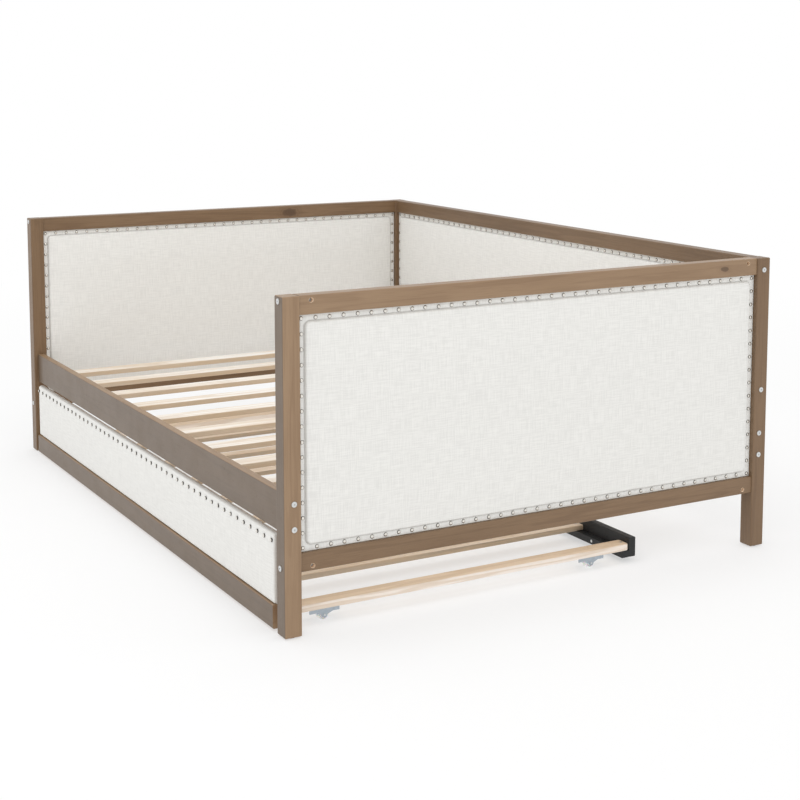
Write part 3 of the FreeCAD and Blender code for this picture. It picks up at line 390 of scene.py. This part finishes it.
def stained_wood(name, grain, stain=STAIN, painted_sheen_share=PAINTED_SHEEN_SHARE, knot=None, knot_radius=0.012):
    """Pine under a warm grey-brown stain, or under its darker copy that is painted shade. Faces towards the
    front and back are painted greyer, a painted reflection of the white surroundings.
    """
    light, middle, dark = stain
    material, tree, coordinates = new_finish(name)
    place = grain_place(tree, coordinates, grain)
    grained = use_group(tree, "wood_grain", {"Place": place, "Line spacing": 0.024, "Line count": 3.0})
    worn = use_group(tree, "handling_wear", {"Place": coordinates["Object"], "Size": 0.06, "Amount": 0.6})
    body = tree.mix(tree.remap(grained["Patches"], 0.3, 0.75), middle, light)
    body = tree.mix(tree.math("MULTIPLY", grained["Lines"], 0.24), body, dark)
    body = tree.mix(tree.remap(grained["Fibres"], 0.42, 0.72, 0.0, 0.3), body, dark)
    # Painted reflection: faces that look to the front or back are mixed towards grey.
    facing = tree.separate(coordinates["Normal"])[Y]
    painted_sheen_mask = tree.remap(tree.math("ABSOLUTE", facing), 0.55, 0.95, 0.0, painted_sheen_share)
    body = tree.mix(painted_sheen_mask, body, PAINTED_SHEEN_GREY)
    if knot is not None:
        centre = tuple(knot[index] for index in GRAIN_ORDER[grain])
        knotted = use_group(tree, "knot", {"Place": place, "Centre": centre, "Radius": knot_radius})
        body = tree.mix(tree.math("MULTIPLY", knotted["Halo"], 0.4), body, dark)
        body = tree.mix(tree.math("MULTIPLY", knotted["Eye"], 0.62), body, STAIN_KNOT)
    roughness = tree.remap(worn["Mask"], 0.1, 0.7, 0.4, 0.55)
    height = tree.math("ADD", grained["Fibres"], tree.math("MULTIPLY", grained["Lines"], 0.6))
    bump = tree.add("ShaderNodeBump", {"Strength": 0.22, "Distance": 0.0006, "Height": height})
    surface(tree, Base_Color=body, Roughness=roughness, Normal=bump.outputs[0], Coat_Weight=0.06)
    return material


PINE_LINE = colour(210, 182, 148)
# The pines' tones, in order: top, grain, sides. The top and side tones are painted light and shade: the
# slats' tops lit and sides shaded, the beams' sides painted lit, the trundle slats' sides painted shaded
# under the bed; the holes' wood is even.
SLAT_PINE = (colour(250, 246, 239), colour(236, 221, 202), colour(204, 182, 156))
BEAM_PINE = (colour(240, 216, 188), colour(232, 206, 176), colour(252, 242, 232))
TRUNDLE_PINE = (colour(244, 228, 210), colour(236, 216, 192), colour(168, 150, 128))
HOLE_PINE = (colour(246, 222, 196), colour(240, 214, 186), colour(246, 222, 196))


def pine(name, grain, tones=SLAT_PINE):
    """Bare dressed pine, with a tone for its top, one for its grain and one for its sides; the top and side
    tones are painted light and shade.
    """
    top_tone_as_lit, grained_tone, side_tone_as_lit = tones
    material, tree, coordinates = new_finish(name)
    place = grain_place(tree, coordinates, grain)
    grained = use_group(tree, "wood_grain", {"Place": place, "Line spacing": 0.02, "Line count": 2.5})
    worn = use_group(tree, "handling_wear", {"Place": coordinates["Object"], "Size": 0.08, "Amount": 0.6})
    patches = tree.remap(grained["Patches"], 0.3, 0.8)
    top = tree.mix(patches, top_tone_as_lit, grained_tone)
    side = tree.mix(tree.math("MULTIPLY", patches, 0.4), side_tone_as_lit, grained_tone)
    # Painted light: faces that look up take the top tone and the rest the side tone.
    upward = tree.separate(coordinates["Normal"])[Z]
    painted_light_by_facing = tree.remap(upward, 0.45, 0.9)
    body = tree.mix(painted_light_by_facing, side, top)
    body = tree.mix(tree.math("MULTIPLY", grained["Lines"], 0.4), body, PINE_LINE)
    body = tree.mix(tree.remap(grained["Fibres"], 0.45, 0.75, 0.0, 0.22), body, PINE_LINE)
    roughness = tree.remap(worn["Mask"], 0.1, 0.7, 0.58, 0.72)
    height = tree.math("ADD", grained["Fibres"], tree.math("MULTIPLY", grained["Lines"], 0.5))
    bump = tree.add("ShaderNodeBump", {"Strength": 0.25, "Distance": 0.0006, "Height": height})
    surface(tree, Base_Color=body, Roughness=roughness, Normal=bump.outputs[0])
    return material


def plywood(name):
    """The panels' boards, hidden under the cloth."""
    material, tree, coordinates = new_finish(name)
    place = grain_place(tree, coordinates, X)
    grained = use_group(tree, "wood_grain", {"Place": place, "Line spacing": 0.05, "Line count": 3.0})
    body = tree.mix(grained["Lines"], colour(196, 165, 122), colour(176, 140, 96))
    surface(tree, Base_Color=body, Roughness=0.7)
    return material


def black_paint(name):
    """Black paint brushed over wood, with a trace of the grain under it."""
    material, tree, coordinates = new_finish(name)
    place = grain_place(tree, coordinates, X)
    grained = use_group(tree, "wood_grain", {"Place": place, "Line spacing": 0.02, "Line count": 3.0})
    worn = use_group(tree, "handling_wear", {"Place": coordinates["Object"], "Size": 0.04, "Amount": 0.9})
    body = tree.mix(worn["Mask"], colour(15, 16, 17), colour(34, 35, 36))
    roughness = tree.remap(worn["Mask"], 0.1, 0.8, 0.42, 0.62)
    bump = tree.add("ShaderNodeBump", {"Strength": 0.3, "Distance": 0.0004, "Height": grained["Fibres"]})
    surface(tree, Base_Color=body, Roughness=roughness, Normal=bump.outputs[0])
    return material


LINEN_ORDER = {X: (Y, Z, X), Y: (X, Z, Y)}
LINEN_LIGHT = colour(241, 240, 236)
LINEN_DARK = colour(230, 229, 225)
# Painted shade in the crease under the cloth's rolled edge.
LINEN_PAINTED_CREASE_SHADE = colour(150, 144, 136)


def linen(name, facing):
    """Off-white slubby linen on faces that look along one axis, with painted shade along its crease."""
    material, tree, coordinates = new_finish(name)
    axes = tree.separate(coordinates["Object"])
    place = tree.combine(*[axes[index] for index in LINEN_ORDER[facing]])
    woven = use_group(tree, "linen_weave", {"Place": place, "Yarn": 0.0011, "Slub length": 0.045})
    body = tree.mix(tree.remap(woven["Tone"], 0.15, 0.85), LINEN_DARK, LINEN_LIGHT)
    # Painted shade: darker along the crease where the rolled edge shades the cloth.
    crease_shade = tree.add("ShaderNodeAttribute", attribute_name="crease_shade").outputs["Fac"]
    body = tree.mix(tree.math("MULTIPLY", crease_shade, 0.45), body, LINEN_PAINTED_CREASE_SHADE)
    bump = tree.add("ShaderNodeBump", {"Strength": 0.35, "Distance": 0.0005, "Height": woven["Height"]})
    roughness = tree.remap(woven["Tone"], 0.0, 1.0, 0.96, 0.84)
    surface(
        tree,
        Base_Color=body,
        Roughness=roughness,
        Normal=bump.outputs[0],
        Sheen_Weight=0.12,
        Sheen_Roughness=0.5,
    )
    return material


def antique_metal(name):
    """Domed nails in old pewter: bright crowns and dark rims, partly tarnished metal and partly painted shade
    round the dome's edge.
    """
    material, tree, coordinates = new_finish(name)
    rim = tree.add("ShaderNodeAttribute", attribute_name="rim").outputs["Fac"]
    worn = use_group(tree, "handling_wear", {"Place": coordinates["Object"], "Size": 0.006, "Amount": 0.8})
    # Tarnished metal and painted shade together: darker towards the dome's rim.
    tarnish_and_painted_shade = tree.remap(rim, 0.45, 0.88)
    tarnish_and_painted_shade = tree.math("ADD", tarnish_and_painted_shade, tree.math("MULTIPLY", worn["Mask"], 0.25), clamp=True)
    body = tree.mix(tarnish_and_painted_shade, colour(240, 236, 228), colour(46, 40, 34))
    roughness = tree.remap(tarnish_and_painted_shade, 0.0, 1.0, 0.16, 0.5)
    surface(tree, Base_Color=body, Roughness=roughness, Metallic=1.0)
    return material


def zinc(name, tint, rough):
    """Zinc plated steel with faint rolling marks."""
    material, tree, coordinates = new_finish(name)
    worn = use_group(tree, "handling_wear", {"Place": coordinates["Object"], "Size": 0.012, "Amount": 0.8})
    body = tree.mix(tree.math("MULTIPLY", worn["Mask"], 0.5), tint, colour(120, 126, 132))
    roughness = tree.remap(worn["Mask"], 0.1, 0.8, rough, rough + 0.18)
    surface(tree, Base_Color=body, Roughness=roughness, Metallic=0.85)
    return material


def milky_plastic(name):
    """Milky nylon of the wheels, dusty on the tread."""
    material, tree, coordinates = new_finish(name)
    worn = use_group(tree, "handling_wear", {"Place": coordinates["Object"], "Size": 0.01, "Amount": 0.5})
    body = tree.mix(worn["Mask"], colour(246, 248, 247), colour(224, 226, 224))
    roughness = tree.remap(worn["Mask"], 0.0, 0.6, 0.25, 0.45)
    surface(
        tree,
        Base_Color=body,
        Roughness=roughness,
        Subsurface_Weight=0.35,
        Subsurface_Scale=0.004,
    )
    return material


def black_plastic(name):
    """Moulded glides under the posts."""
    material, tree, coordinates = new_finish(name)
    worn = use_group(tree, "handling_wear", {"Place": coordinates["Object"], "Size": 0.01, "Amount": 0.7})
    body = tree.mix(worn["Mask"], colour(26, 26, 26), colour(54, 53, 51))
    roughness = tree.remap(worn["Mask"], 0.0, 0.7, 0.4, 0.65)
    surface(tree, Base_Color=body, Roughness=roughness)
    return material


def give(node, material):
    """Puts one material on all of a frame node's slots."""
    mesh = frame["nodes"][node].data
    mesh.materials.clear()
    mesh.materials.append(material)


def inside(node, along, across, up):
    """A point of a node's box, given as shares of its three sides."""
    low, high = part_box(node)
    shares = (along, across, up)
    return tuple(low[axis] + shares[axis] * (high[axis] - low[axis]) for axis in (X, Y, Z))


def longest_side(node):
    """The axis along which a stick is longest."""
    low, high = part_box(node)
    return max((X, Y, Z), key=lambda axis: high[axis] - low[axis])


def finish_wood():
    """Stained posts and rails, bare slats, ledgers and beams, and the black rear rail. The left
    arm, the back and the right arm's lower rail get a darker copy of the stain: painted shade."""
    stained = {axis: stained_wood("stained_wood_" + "xyz"[axis], axis) for axis in (X, Y, Z)}
    # Painted shade: darker copies of the stain for the parts that lie in shade.
    deep = {}
    for axis in (X, Y, Z):
        deep[axis] = stained_wood("painted_shade_stained_wood_" + "xyz"[axis], axis, PAINTED_SHADE_STAIN, SHADED_COPY_SHEEN_SHARE)
    bare = {axis: pine("pine_" + "xyz"[axis], axis) for axis in (X, Y)}
    beam_pine = pine("beam_pine", Y, BEAM_PINE)
    trundle_pine = pine("trundle_pine", Y, TRUNDLE_PINE)
    slots = {entry["node"]: entry["material_slot"] for entry in frame["record"]["subparts"]}
    painted = black_paint("black_paint")
    board = plywood("plywood")
    for node, slot in slots.items():
        if slot == "stained_wood":
            in_painted_shade = node.startswith("left") or "back" in node or node == "right_arm_bottom_rail"
            stick = deep if in_painted_shade else stained
            give(node, stick[longest_side(node)])
        elif node == "trundle_slats":
            give(node, trundle_pine)
        elif node.endswith("caster_beam"):
            give(node, beam_pine)
        elif slot == "pine":
            give(node, bare[longest_side(node)])
        elif slot == "black_paint":
            give(node, painted)
        elif slot == "panel_board":
            give(node, board)
    knotted = inside("left_arm_top_rail", 1.0, 0.675, 0.45)
    # This rail is on the left arm, so it takes the painted-shade copy of the stain.
    give("left_arm_top_rail", stained_wood("knotted_wood", Y, PAINTED_SHADE_STAIN, SHADED_COPY_SHEEN_SHARE, knotted, 0.014))
    small_knot = inside("right_arm_top_rail", 1.0, 0.918, 0.5)
    give("right_arm_top_rail", stained_wood("small_knot_wood", Y, STAIN, PAINTED_SHEEN_SHARE, small_knot, 0.007))


def finish_fittings():
    """Bolts, screws, brackets, axles and glides."""
    bright = zinc("bright_zinc", colour(232, 233, 232), 0.24)
    dull = zinc("dull_zinc", colour(186, 196, 205), 0.34)
    for node in ("frame_bolts", "bed_screws", "trundle_screws", "caster_axles"):
        give(node, bright)
    for node in ("barrel_nuts", "caster_brackets"):
        give(node, dull)
    give("post_glides", black_plastic("black_plastic"))


# ---------------------------------------------------------------- mesh helpers


def new_piece(name, points, faces, material, body, smooth=True):
    """A mesh object in the frame's axes that rides on a body."""
    mesh = bpy.data.meshes.new(name)
    mesh.from_pydata([tuple(point) for point in points], [], [tuple(face) for face in faces])
    mesh.validate()
    mesh.update()
    if smooth:
        mesh.shade_smooth()
    mesh.materials.append(material)
    piece = bpy.data.objects.new(name, mesh)
    bpy.context.scene.collection.objects.link(piece)
    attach(piece, body)
    return piece


class Face:
    """The plane of a flat piece: its middle, the two axes in it and the way it looks."""

    def __init__(self, node, axis, sign):
        low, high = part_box(node)
        self.axis = axis
        self.sign = sign
        self.back = low[axis] if sign > 0 else high[axis]
        self.depth = high[axis] - low[axis]
        self.across = Y if axis == X else X
        self.low = (low[self.across], low[Z])
        self.high = (high[self.across], high[Z])
        self.width = self.high[0] - self.low[0]
        self.height = self.high[1] - self.low[1]

    def points(self, across, up, out):
        """Points from arrays of places across, up and out of the face's back plane."""
        made = np.zeros((len(across), 3))
        made[:, self.axis] = self.back + self.sign * np.asarray(out)
        made[:, self.across] = self.low[0] + np.asarray(across)
        made[:, Z] = self.low[1] + np.asarray(up)
        return made

    def is_mirrored(self):
        """True if across, up and out make a left-handed set, so faces are wound the other way."""
        handed = {X: 1, Y: -1}[self.axis]
        return handed * self.sign < 0


def graded_lines(length, band, fine, coarse):
    """Grid lines from 0 to length, close together within a band of each end."""
    edge = np.arange(0, band, fine)
    count = max(2, round((length - 2 * band) / coarse))
    middle = np.linspace(band, length - band, count + 1)
    return np.concatenate([edge, middle, (length - edge)[::-1]])


def slab_faces(columns, rows, mirrored):
    """Quads of a closed slab: a front grid, a back grid behind it and the walls between them."""
    count = columns * rows

    def quad(a, b, c, d):
        return (a, b, c, d) if not mirrored else (d, c, b, a)

    faces = []
    for row in range(rows - 1):
        for column in range(columns - 1):
            a = row * columns + column
            b, c, d = a + 1, a + columns + 1, a + columns
            faces.append(quad(a, b, c, d))
            faces.append(quad(count + d, count + c, count + b, count + a))
    bottom = list(range(columns))
    right = [row * columns + columns - 1 for row in range(rows)]
    top = [(rows - 1) * columns + column for column in reversed(range(columns))]
    left = [row * columns for row in reversed(range(rows))]
    rim = bottom + right[1:] + top[1:] + left[1:]
    for first, second in zip(rim, rim[1:]):
        faces.append(quad(first, count + first, count + second, second))
    return faces


def inner_distance(across, up, width, height, corner):
    """How far inside a rectangle with rounded corners each place lies; negative outside it."""
    from_middle_x = np.abs(across - width / 2) - (width / 2 - corner)
    from_middle_y = np.abs(up - height / 2) - (height / 2 - corner)
    outside = np.hypot(np.maximum(from_middle_x, 0), np.maximum(from_middle_y, 0))
    within = np.minimum(np.maximum(from_middle_x, from_middle_y), 0)
    return corner - outside - within


def run_of(length, pitch):
    """Evenly spaced places along a row that starts and ends at its ends, about a pitch apart."""
    gaps = max(1, round(length / pitch))
    return [length * step / gaps for step in range(gaps + 1)]


# ---------------------------------------------------------------- padded faces

NAIL_RADIUS = 5.0 * MM
NAIL_INSET = 8.5 * MM
NAIL_PITCH = 36 * MM
FRONT_NAIL_PITCH = 40 * MM
FRONT_NAIL_INSET = 11.5 * MM
FRONT_NAIL_DROP = 16 * MM
BORDER = 14.5 * MM
CLOTH = 2 * MM
ROLL = 9.5 * MM
CROWN = 3.2 * MM
CROWN_REACH = 70 * MM
FIELD_CORNER = 16 * MM
PUCKER = 0.7 * MM
PINCH_REACH = 10 * MM
SCALLOP = 1.2 * MM
SCALLOP_REACH = 22 * MM
CREASE = 1.7 * MM
CREASE_REACH = 1.8 * MM
# How far the painted crease shade reaches.
CREASE_SHADE_REACH = 1.3 * MM
FRONT_CORNER = 6 * MM
FRONT_ROUND = 7 * MM
DIMPLE = 1.4 * MM
DIMPLE_REACH = 8 * MM
FINE_STEP = 1.5 * MM
COARSE_STEP = 11 * MM
FRAMED_FINE_BAND = 28.5 * MM
FRONT_FINE_BAND = 24 * MM
SWELL_CAP = 3.5 * MM
CLOTH_PRESSURE = 0.6


def framed_nails(face):
    """Nail places on all four edges of a framed panel, across and up from its lowest corner."""
    columns = [NAIL_INSET + step for step in run_of(face.width - 2 * NAIL_INSET, NAIL_PITCH)]
    rows = [NAIL_INSET + step for step in run_of(face.height - 2 * NAIL_INSET, NAIL_PITCH)]
    places = [(column, row) for column in columns for row in (rows[0], rows[-1])]
    return places + [(column, row) for row in rows[1:-1] for column in (columns[0], columns[-1])]


def near_nails(across, up, nails, reach):
    """1 at a nail, falling to 0 at reach from the nearest one."""
    nearest = np.full(len(across), np.inf)
    for column, row in nails:
        nearest = np.minimum(nearest, np.hypot(across - column, up - row))
    return np.exp(-((nearest / reach) ** 2))


def framed_height(face, across, up, nails):
    """How far the cloth stands out of a framed panel: a nailed border, a crease, a rolled edge
    and a gently crowned field."""
    edge = inner_distance(across, up, face.width, face.height, 0.0)
    pinch = near_nails(across, up, nails, PINCH_REACH)
    height = CLOTH + PUCKER * (1 - pinch) * np.sin(np.pi * np.clip(edge / BORDER, 0, 1))
    scallop = SCALLOP * near_nails(across, up, nails, SCALLOP_REACH)
    field_width = face.width - 2 * BORDER
    field_height = face.height - 2 * BORDER
    field = inner_distance(across - BORDER, up - BORDER, field_width, field_height, FIELD_CORNER)
    field = field - scallop
    crease = CREASE * np.exp(-((field / CREASE_REACH) ** 2))
    climb = np.clip(field / ROLL, 0, 1)
    roll = (face.depth - CLOTH - CROWN) * np.sqrt(1 - (1 - climb) ** 2)
    crown = CROWN * (1 - np.exp(-np.clip(field, 0, None) / CROWN_REACH))
    return height * (1 - climb) + CLOTH * climb - crease + roll + crown, field


def front_height(face, across, up, nails):
    """How far the cloth stands out of the trundle's front panel: rounded edges all round, a
    gentle crown, and a dimple at each nail."""
    edge = inner_distance(across, up, face.width, face.height, FRONT_CORNER)
    climb = np.clip(edge / FRONT_ROUND, 0, 1)
    rounded = (face.depth - CROWN) - FRONT_ROUND * (1 - np.sqrt(1 - (1 - climb) ** 2))
    crown = CROWN * (1 - np.exp(-np.clip(edge, 0, None) / (0.5 * CROWN_REACH)))
    dimple = DIMPLE * near_nails(across, up, nails, DIMPLE_REACH)
    return rounded + crown - dimple, edge


def make_slab(name, face, height_of, nails, material, body, band):
    """A closed padded slab on a face, with a weight on every point that the nails hold down and
    a painted shade on the points along its crease."""
    lines_across = graded_lines(face.width, band, FINE_STEP, COARSE_STEP)
    lines_up = graded_lines(face.height, band, FINE_STEP, COARSE_STEP)
    across, up = (grid.ravel() for grid in np.meshgrid(lines_across, lines_up))
    out, inward = height_of(face, across, up, nails)
    front = face.points(across, up, out)
    back = face.points(across, up, np.zeros(len(across)))
    faces = slab_faces(len(lines_across), len(lines_up), face.is_mirrored())
    piece = new_piece(name, np.vstack([front, back]), faces, material, body)
    # Painted shade along the crease, fading within a millimetre or so of it.
    crease_shade = np.concatenate([np.exp(-((inward / CREASE_SHADE_REACH) ** 2)), np.zeros(len(across))])
    piece.data.attributes.new("crease_shade", "FLOAT", "POINT").data.foreach_set("value", crease_shade)
    held = piece.vertex_groups.new(name="held")
    free = inward > ROLL * 0.5
    held.add([int(index) for index in np.flatnonzero(~free)], 1.0, "REPLACE")
    held.add([index + len(across) for index in range(len(across))], 1.0, "REPLACE")
    return piece


CLOTH_FRAMES = 14


def add_cloth(piece):
    """Sets a padded piece up to be swollen gently from inside."""
    cloth = piece.modifiers.new("cloth", "CLOTH")
    settings = cloth.settings
    settings.vertex_group_mass = "held"
    settings.quality = 4
    settings.mass = 0.3
    settings.tension_stiffness = 12
    settings.compression_stiffness = 8
    settings.shear_stiffness = 4
    settings.bending_stiffness = 1.2
    settings.use_pressure = True
    settings.uniform_pressure_force = CLOTH_PRESSURE
    settings.effector_weights.gravity = 0
    cloth.collision_settings.use_collision = False
    cloth.collision_settings.use_self_collision = False
    cloth.point_cache.frame_start = 1
    cloth.point_cache.frame_end = CLOTH_FRAMES


def settle_cloth(pieces):
    """Runs the cloth of all the padded pieces together and keeps its shape, within a cap."""
    scene = bpy.context.scene
    for step in range(1, CLOTH_FRAMES + 1):
        scene.frame_set(step)
    depsgraph = bpy.context.evaluated_depsgraph_get()
    settled = {}
    for piece in pieces:
        shape = piece.evaluated_get(depsgraph).data
        moved = np.zeros(len(shape.vertices) * 3)
        shape.vertices.foreach_get("co", moved)
        settled[piece.name] = moved.reshape(-1, 3)
    for piece in pieces:
        piece.modifiers.remove(piece.modifiers["cloth"])
        start = np.zeros(len(piece.data.vertices) * 3)
        piece.data.vertices.foreach_get("co", start)
        start = start.reshape(-1, 3)
        step = settled[piece.name] - start
        size = np.linalg.norm(step, axis=1, keepdims=True)
        step = step * np.minimum(1, SWELL_CAP / np.maximum(size, 1e-9))
        piece.data.vertices.foreach_set("co", (start + step).ravel())
        piece.data.update()
    scene.frame_set(1)


FRAMED_PADS = (
    ("right_arm_outer_pad", X, 1),
    ("right_arm_inner_pad", X, -1),
    ("left_arm_outer_pad", X, -1),
    ("left_arm_inner_pad", X, 1),
    ("back_front_pad", Y, -1),
    ("back_rear_pad", Y, 1),
)


class FrontFace(Face):
    """The trundle's padded front: its cloth wraps the board, so it is as deep as both."""

    def __init__(self):
        super().__init__("trundle_front_pad", Y, -1)
        self.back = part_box("trundle_front_board")[1][Y]
        self.depth = self.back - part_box("trundle_front_pad")[0][Y]


def make_pads():
    """The padded faces, shaped round the places of the nails that hold them, with their cloth settled."""
    cloth_for = {X: linen("linen_on_arms", X), Y: linen("linen_on_back_and_front", Y)}
    pads = []
    for node, axis, sign in FRAMED_PADS:
        face = Face(node, axis, sign)
        nails = framed_nails(face)
        name = node + "_cloth"
        pad = make_slab(name, face, framed_height, nails, cloth_for[axis], "daybed", FRAMED_FINE_BAND)
        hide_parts(node)
        pads.append(pad)
    face = FrontFace()
    nails = trundle_front_nails(face)
    name = "trundle_front_cloth"
    pad = make_slab(name, face, front_height, nails, cloth_for[Y], "trundle", FRONT_FINE_BAND)
    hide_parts("trundle_front_pad", "trundle_front_board")
    pads.append(pad)
    for pad in pads:
        add_cloth(pad)
    settle_cloth(pads)


# ---------------------------------------------------------------- nail heads

NAIL_HEIGHT = 3.0 * MM
NAIL_SUNK = 0.6 * MM
NAIL_WAIST = 0.96 * NAIL_RADIUS
NAIL_JOG = 0.35 * MM
NAIL_TILT = 0.04
NAIL_SIDES = 20
NAIL_RINGS = 6


def nail_dome():
    """A domed head whose foot sinks into the cloth: its points, its faces and how near the rim
    each point is."""
    points = [(0.0, 0.0, NAIL_HEIGHT)]
    rim = [0.0]
    for ring in range(1, NAIL_RINGS + 1):
        share = ring / NAIL_RINGS
        radius = NAIL_RADIUS * math.sin(share * math.pi / 2)
        height = NAIL_HEIGHT * math.cos(share * math.pi / 2)
        for side in range(NAIL_SIDES):
            turn = 2 * math.pi * side / NAIL_SIDES
            points.append((radius * math.cos(turn), radius * math.sin(turn), height))
            rim.append(share)
    for side in range(NAIL_SIDES):
        turn = 2 * math.pi * side / NAIL_SIDES
        points.append((NAIL_WAIST * math.cos(turn), NAIL_WAIST * math.sin(turn), -NAIL_SUNK))
        rim.append(1.0)
    faces = [(0, 1 + side, 1 + (side + 1) % NAIL_SIDES) for side in range(NAIL_SIDES)]
    for ring in range(NAIL_RINGS):
        start = 1 + ring * NAIL_SIDES
        for side in range(NAIL_SIDES):
            after = (side + 1) % NAIL_SIDES
            faces.append((start + side, start + NAIL_SIDES + side, start + NAIL_SIDES + after, start + after))
    base = 1 + NAIL_RINGS * NAIL_SIDES
    faces.append(tuple(base + side for side in reversed(range(NAIL_SIDES))))
    return np.array(points), faces, rim


def nail_heads(name, rows, material, body):
    """One mesh of domed nails. Each row is a face, the nail places on it and how far out of the
    face's back plane its nails sit."""
    dome, dome_faces, dome_rim = nail_dome()
    chance = np.random.default_rng(11)
    points, faces, rim = [], [], []
    for face, places, out in rows:
        for across, up in places:
            jog_across, jog_up = chance.normal(0, NAIL_JOG, 2)
            tilt_across, tilt_up = chance.normal(0, NAIL_TILT, 2)
            painted_light_by_facing = dome[:, 2] + tilt_across * dome[:, 0] + tilt_up * dome[:, 1]
            placed = face.points(across + jog_across + dome[:, 0], up + jog_up + dome[:, 1], out + painted_light_by_facing)
            first = len(points) * len(dome)
            points.append(placed)
            for ring in dome_faces:
                ring = ring[::-1] if face.is_mirrored() else ring
                faces.append(tuple(first + index for index in ring))
            rim.extend(dome_rim)
    piece = new_piece(name + "_heads", np.vstack(points), faces, material, body)
    attribute = piece.data.attributes.new("rim", "FLOAT", "POINT")
    attribute.data.foreach_set("value", rim)
    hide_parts(name)


def trundle_front_nails(face):
    """One row of nails a little below the front panel's top edge."""
    height = face.height - FRONT_NAIL_DROP
    steps = run_of(face.width - 2 * FRONT_NAIL_INSET, FRONT_NAIL_PITCH)
    return [(FRONT_NAIL_INSET + step, height) for step in steps]


def make_nails():
    """The rows of nails of each panel, both faces of a panel in one piece."""
    metal = antique_metal("antique_nails")
    faces = {node: Face(node, axis, sign) for node, axis, sign in FRAMED_PADS}
    panels = {
        "right_arm_nails": ("right_arm_outer_pad", "right_arm_inner_pad"),
        "left_arm_nails": ("left_arm_outer_pad", "left_arm_inner_pad"),
        "back_nails": ("back_front_pad", "back_rear_pad"),
    }
    for name, pads in panels.items():
        rows = [(faces[pad], framed_nails(faces[pad]), CLOTH) for pad in pads]
        nail_heads(name, rows, metal, "daybed")
    face = FrontFace()
    rows = [(face, trundle_front_nails(face), face.depth - DIMPLE)]
    nail_heads("trundle_front_nails", rows, metal, "trundle")


# ---------------------------------------------------------------- caster wheels


def lathe(middle, profile, sides):
    """A ring-shaped solid turned about X through middle: profile is a closed loop of (x, radius)."""
    points, faces = [], []
    count = len(profile)
    for side in range(sides):
        turn = 2 * math.pi * side / sides
        for offset, radius in profile:
            points.append(
                (
                    middle[0] + offset,
                    middle[1] + radius * math.cos(turn),
                    middle[2] + radius * math.sin(turn),
                )
            )
    for side in range(sides):
        after = (side + 1) % sides
        for index in range(count):
            following = (index + 1) % count
            faces.append(
                (
                    side * count + index,
                    side * count + following,
                    after * count + following,
                    after * count + index,
                )
            )
    return points, faces


WHEEL_BORE = 2.6 * MM
WHEEL_HUB = 5.2 * MM
WHEEL_HUB_FLARE = 0.8 * MM
WHEEL_DISH = 3 * MM
WHEEL_RIM_INSIDE = 3.4 * MM
WHEEL_RIM_OUTSIDE = 2.4 * MM
TREAD_ROUND = 1.2 * MM
WHEEL_EASED = 0.4 * MM
WHEEL_SIDES = 40


def make_wheels():
    """Each wheel: a rounded tread, dished sides and a hub that stands out round the axle."""
    plastic = milky_plastic("milky_plastic")
    for body in frame["bodies"]:
        if not body.endswith("_wheel"):
            continue
        low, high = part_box(body)
        middle = (low + high) / 2
        radius = (high[Z] - low[Z]) / 2
        half = (high[X] - low[X]) / 2
        web = half - WHEEL_DISH
        outline = (
            (-half, WHEEL_BORE),
            (-half, WHEEL_HUB),
            (-web, WHEEL_HUB + WHEEL_HUB_FLARE),
            (-web, radius - WHEEL_RIM_INSIDE),
            (-half, radius - WHEEL_RIM_OUTSIDE),
            (-half, radius - TREAD_ROUND),
            (-half + TREAD_ROUND, radius),
        )
        mirrored = tuple((-offset, reach) for offset, reach in reversed(outline))
        points, faces = lathe(middle, outline + mirrored, WHEEL_SIDES)
        wheel = new_piece(body + "_tyre", points, faces, plastic, body)
        bevel = wheel.modifiers.new("eased", "BEVEL")
        bevel.width = WHEEL_EASED
        bevel.segments = 2
        bevel.limit_method = "ANGLE"
        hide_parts(body)


# ---------------------------------------------------------------- raw wood in the drilled holes

HOLE_RADIUS = 6.0 * MM
HOLE_INSET = 30 * MM
HOLE_DEPTH = 16 * MM
HOLE_MOUTH = 0.1 * MM
LINING_GAP = 0.05 * MM
LINING_WALL = 0.45 * MM
LINING_SIDES = 28
ARM_BOLT_FROM_EDGE = 12 * MM


def make_hole_linings():
    """Bare wood showing inside the barrel nut holes near the ends of the arm rails."""
    bare = pine("bare_hole", X, HOLE_PINE)
    points, faces = [], []
    for side, sign in (("right", 1), ("left", -1)):
        for level in ("top", "bottom"):
            low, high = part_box("%s_arm_%s_rail" % (side, level))
            face_x = high[X] if sign > 0 else low[X]
            z = high[Z] - ARM_BOLT_FROM_EDGE if level == "top" else low[Z] + ARM_BOLT_FROM_EDGE
            for y in (low[Y] + HOLE_INSET, high[Y] - HOLE_INSET):
                mouth = -sign * HOLE_MOUTH
                deep = -sign * HOLE_DEPTH
                outer = HOLE_RADIUS - LINING_GAP
                inner = outer - LINING_WALL
                profile = ((mouth, outer), (mouth, inner), (deep, inner), (deep, outer))
                ring_points, ring_faces = lathe((face_x, y, z), profile, LINING_SIDES)
                first = len(points)
                points += ring_points
                wound = ring_faces if sign < 0 else [face[::-1] for face in ring_faces]
                faces += [tuple(first + index for index in face) for face in wound]
    piece = new_piece("hole_linings", points, faces, bare, "daybed", smooth=False)


# ---------------------------------------------------------------- put together


def make_groups():
    """The surface effects that several finishes share."""
    make_wood_grain_group()
    make_knot_group()
    make_linen_group()
    make_wear_group()


def main():
    bpy.context.scene.view_settings.view_transform = "Standard"
    make_camera()
    make_groups()
    make_world()
    make_lights()
    make_floor()
    finish_wood()
    finish_fittings()
    make_pads()
    make_nails()
    make_wheels()
    make_hole_linings()


main()
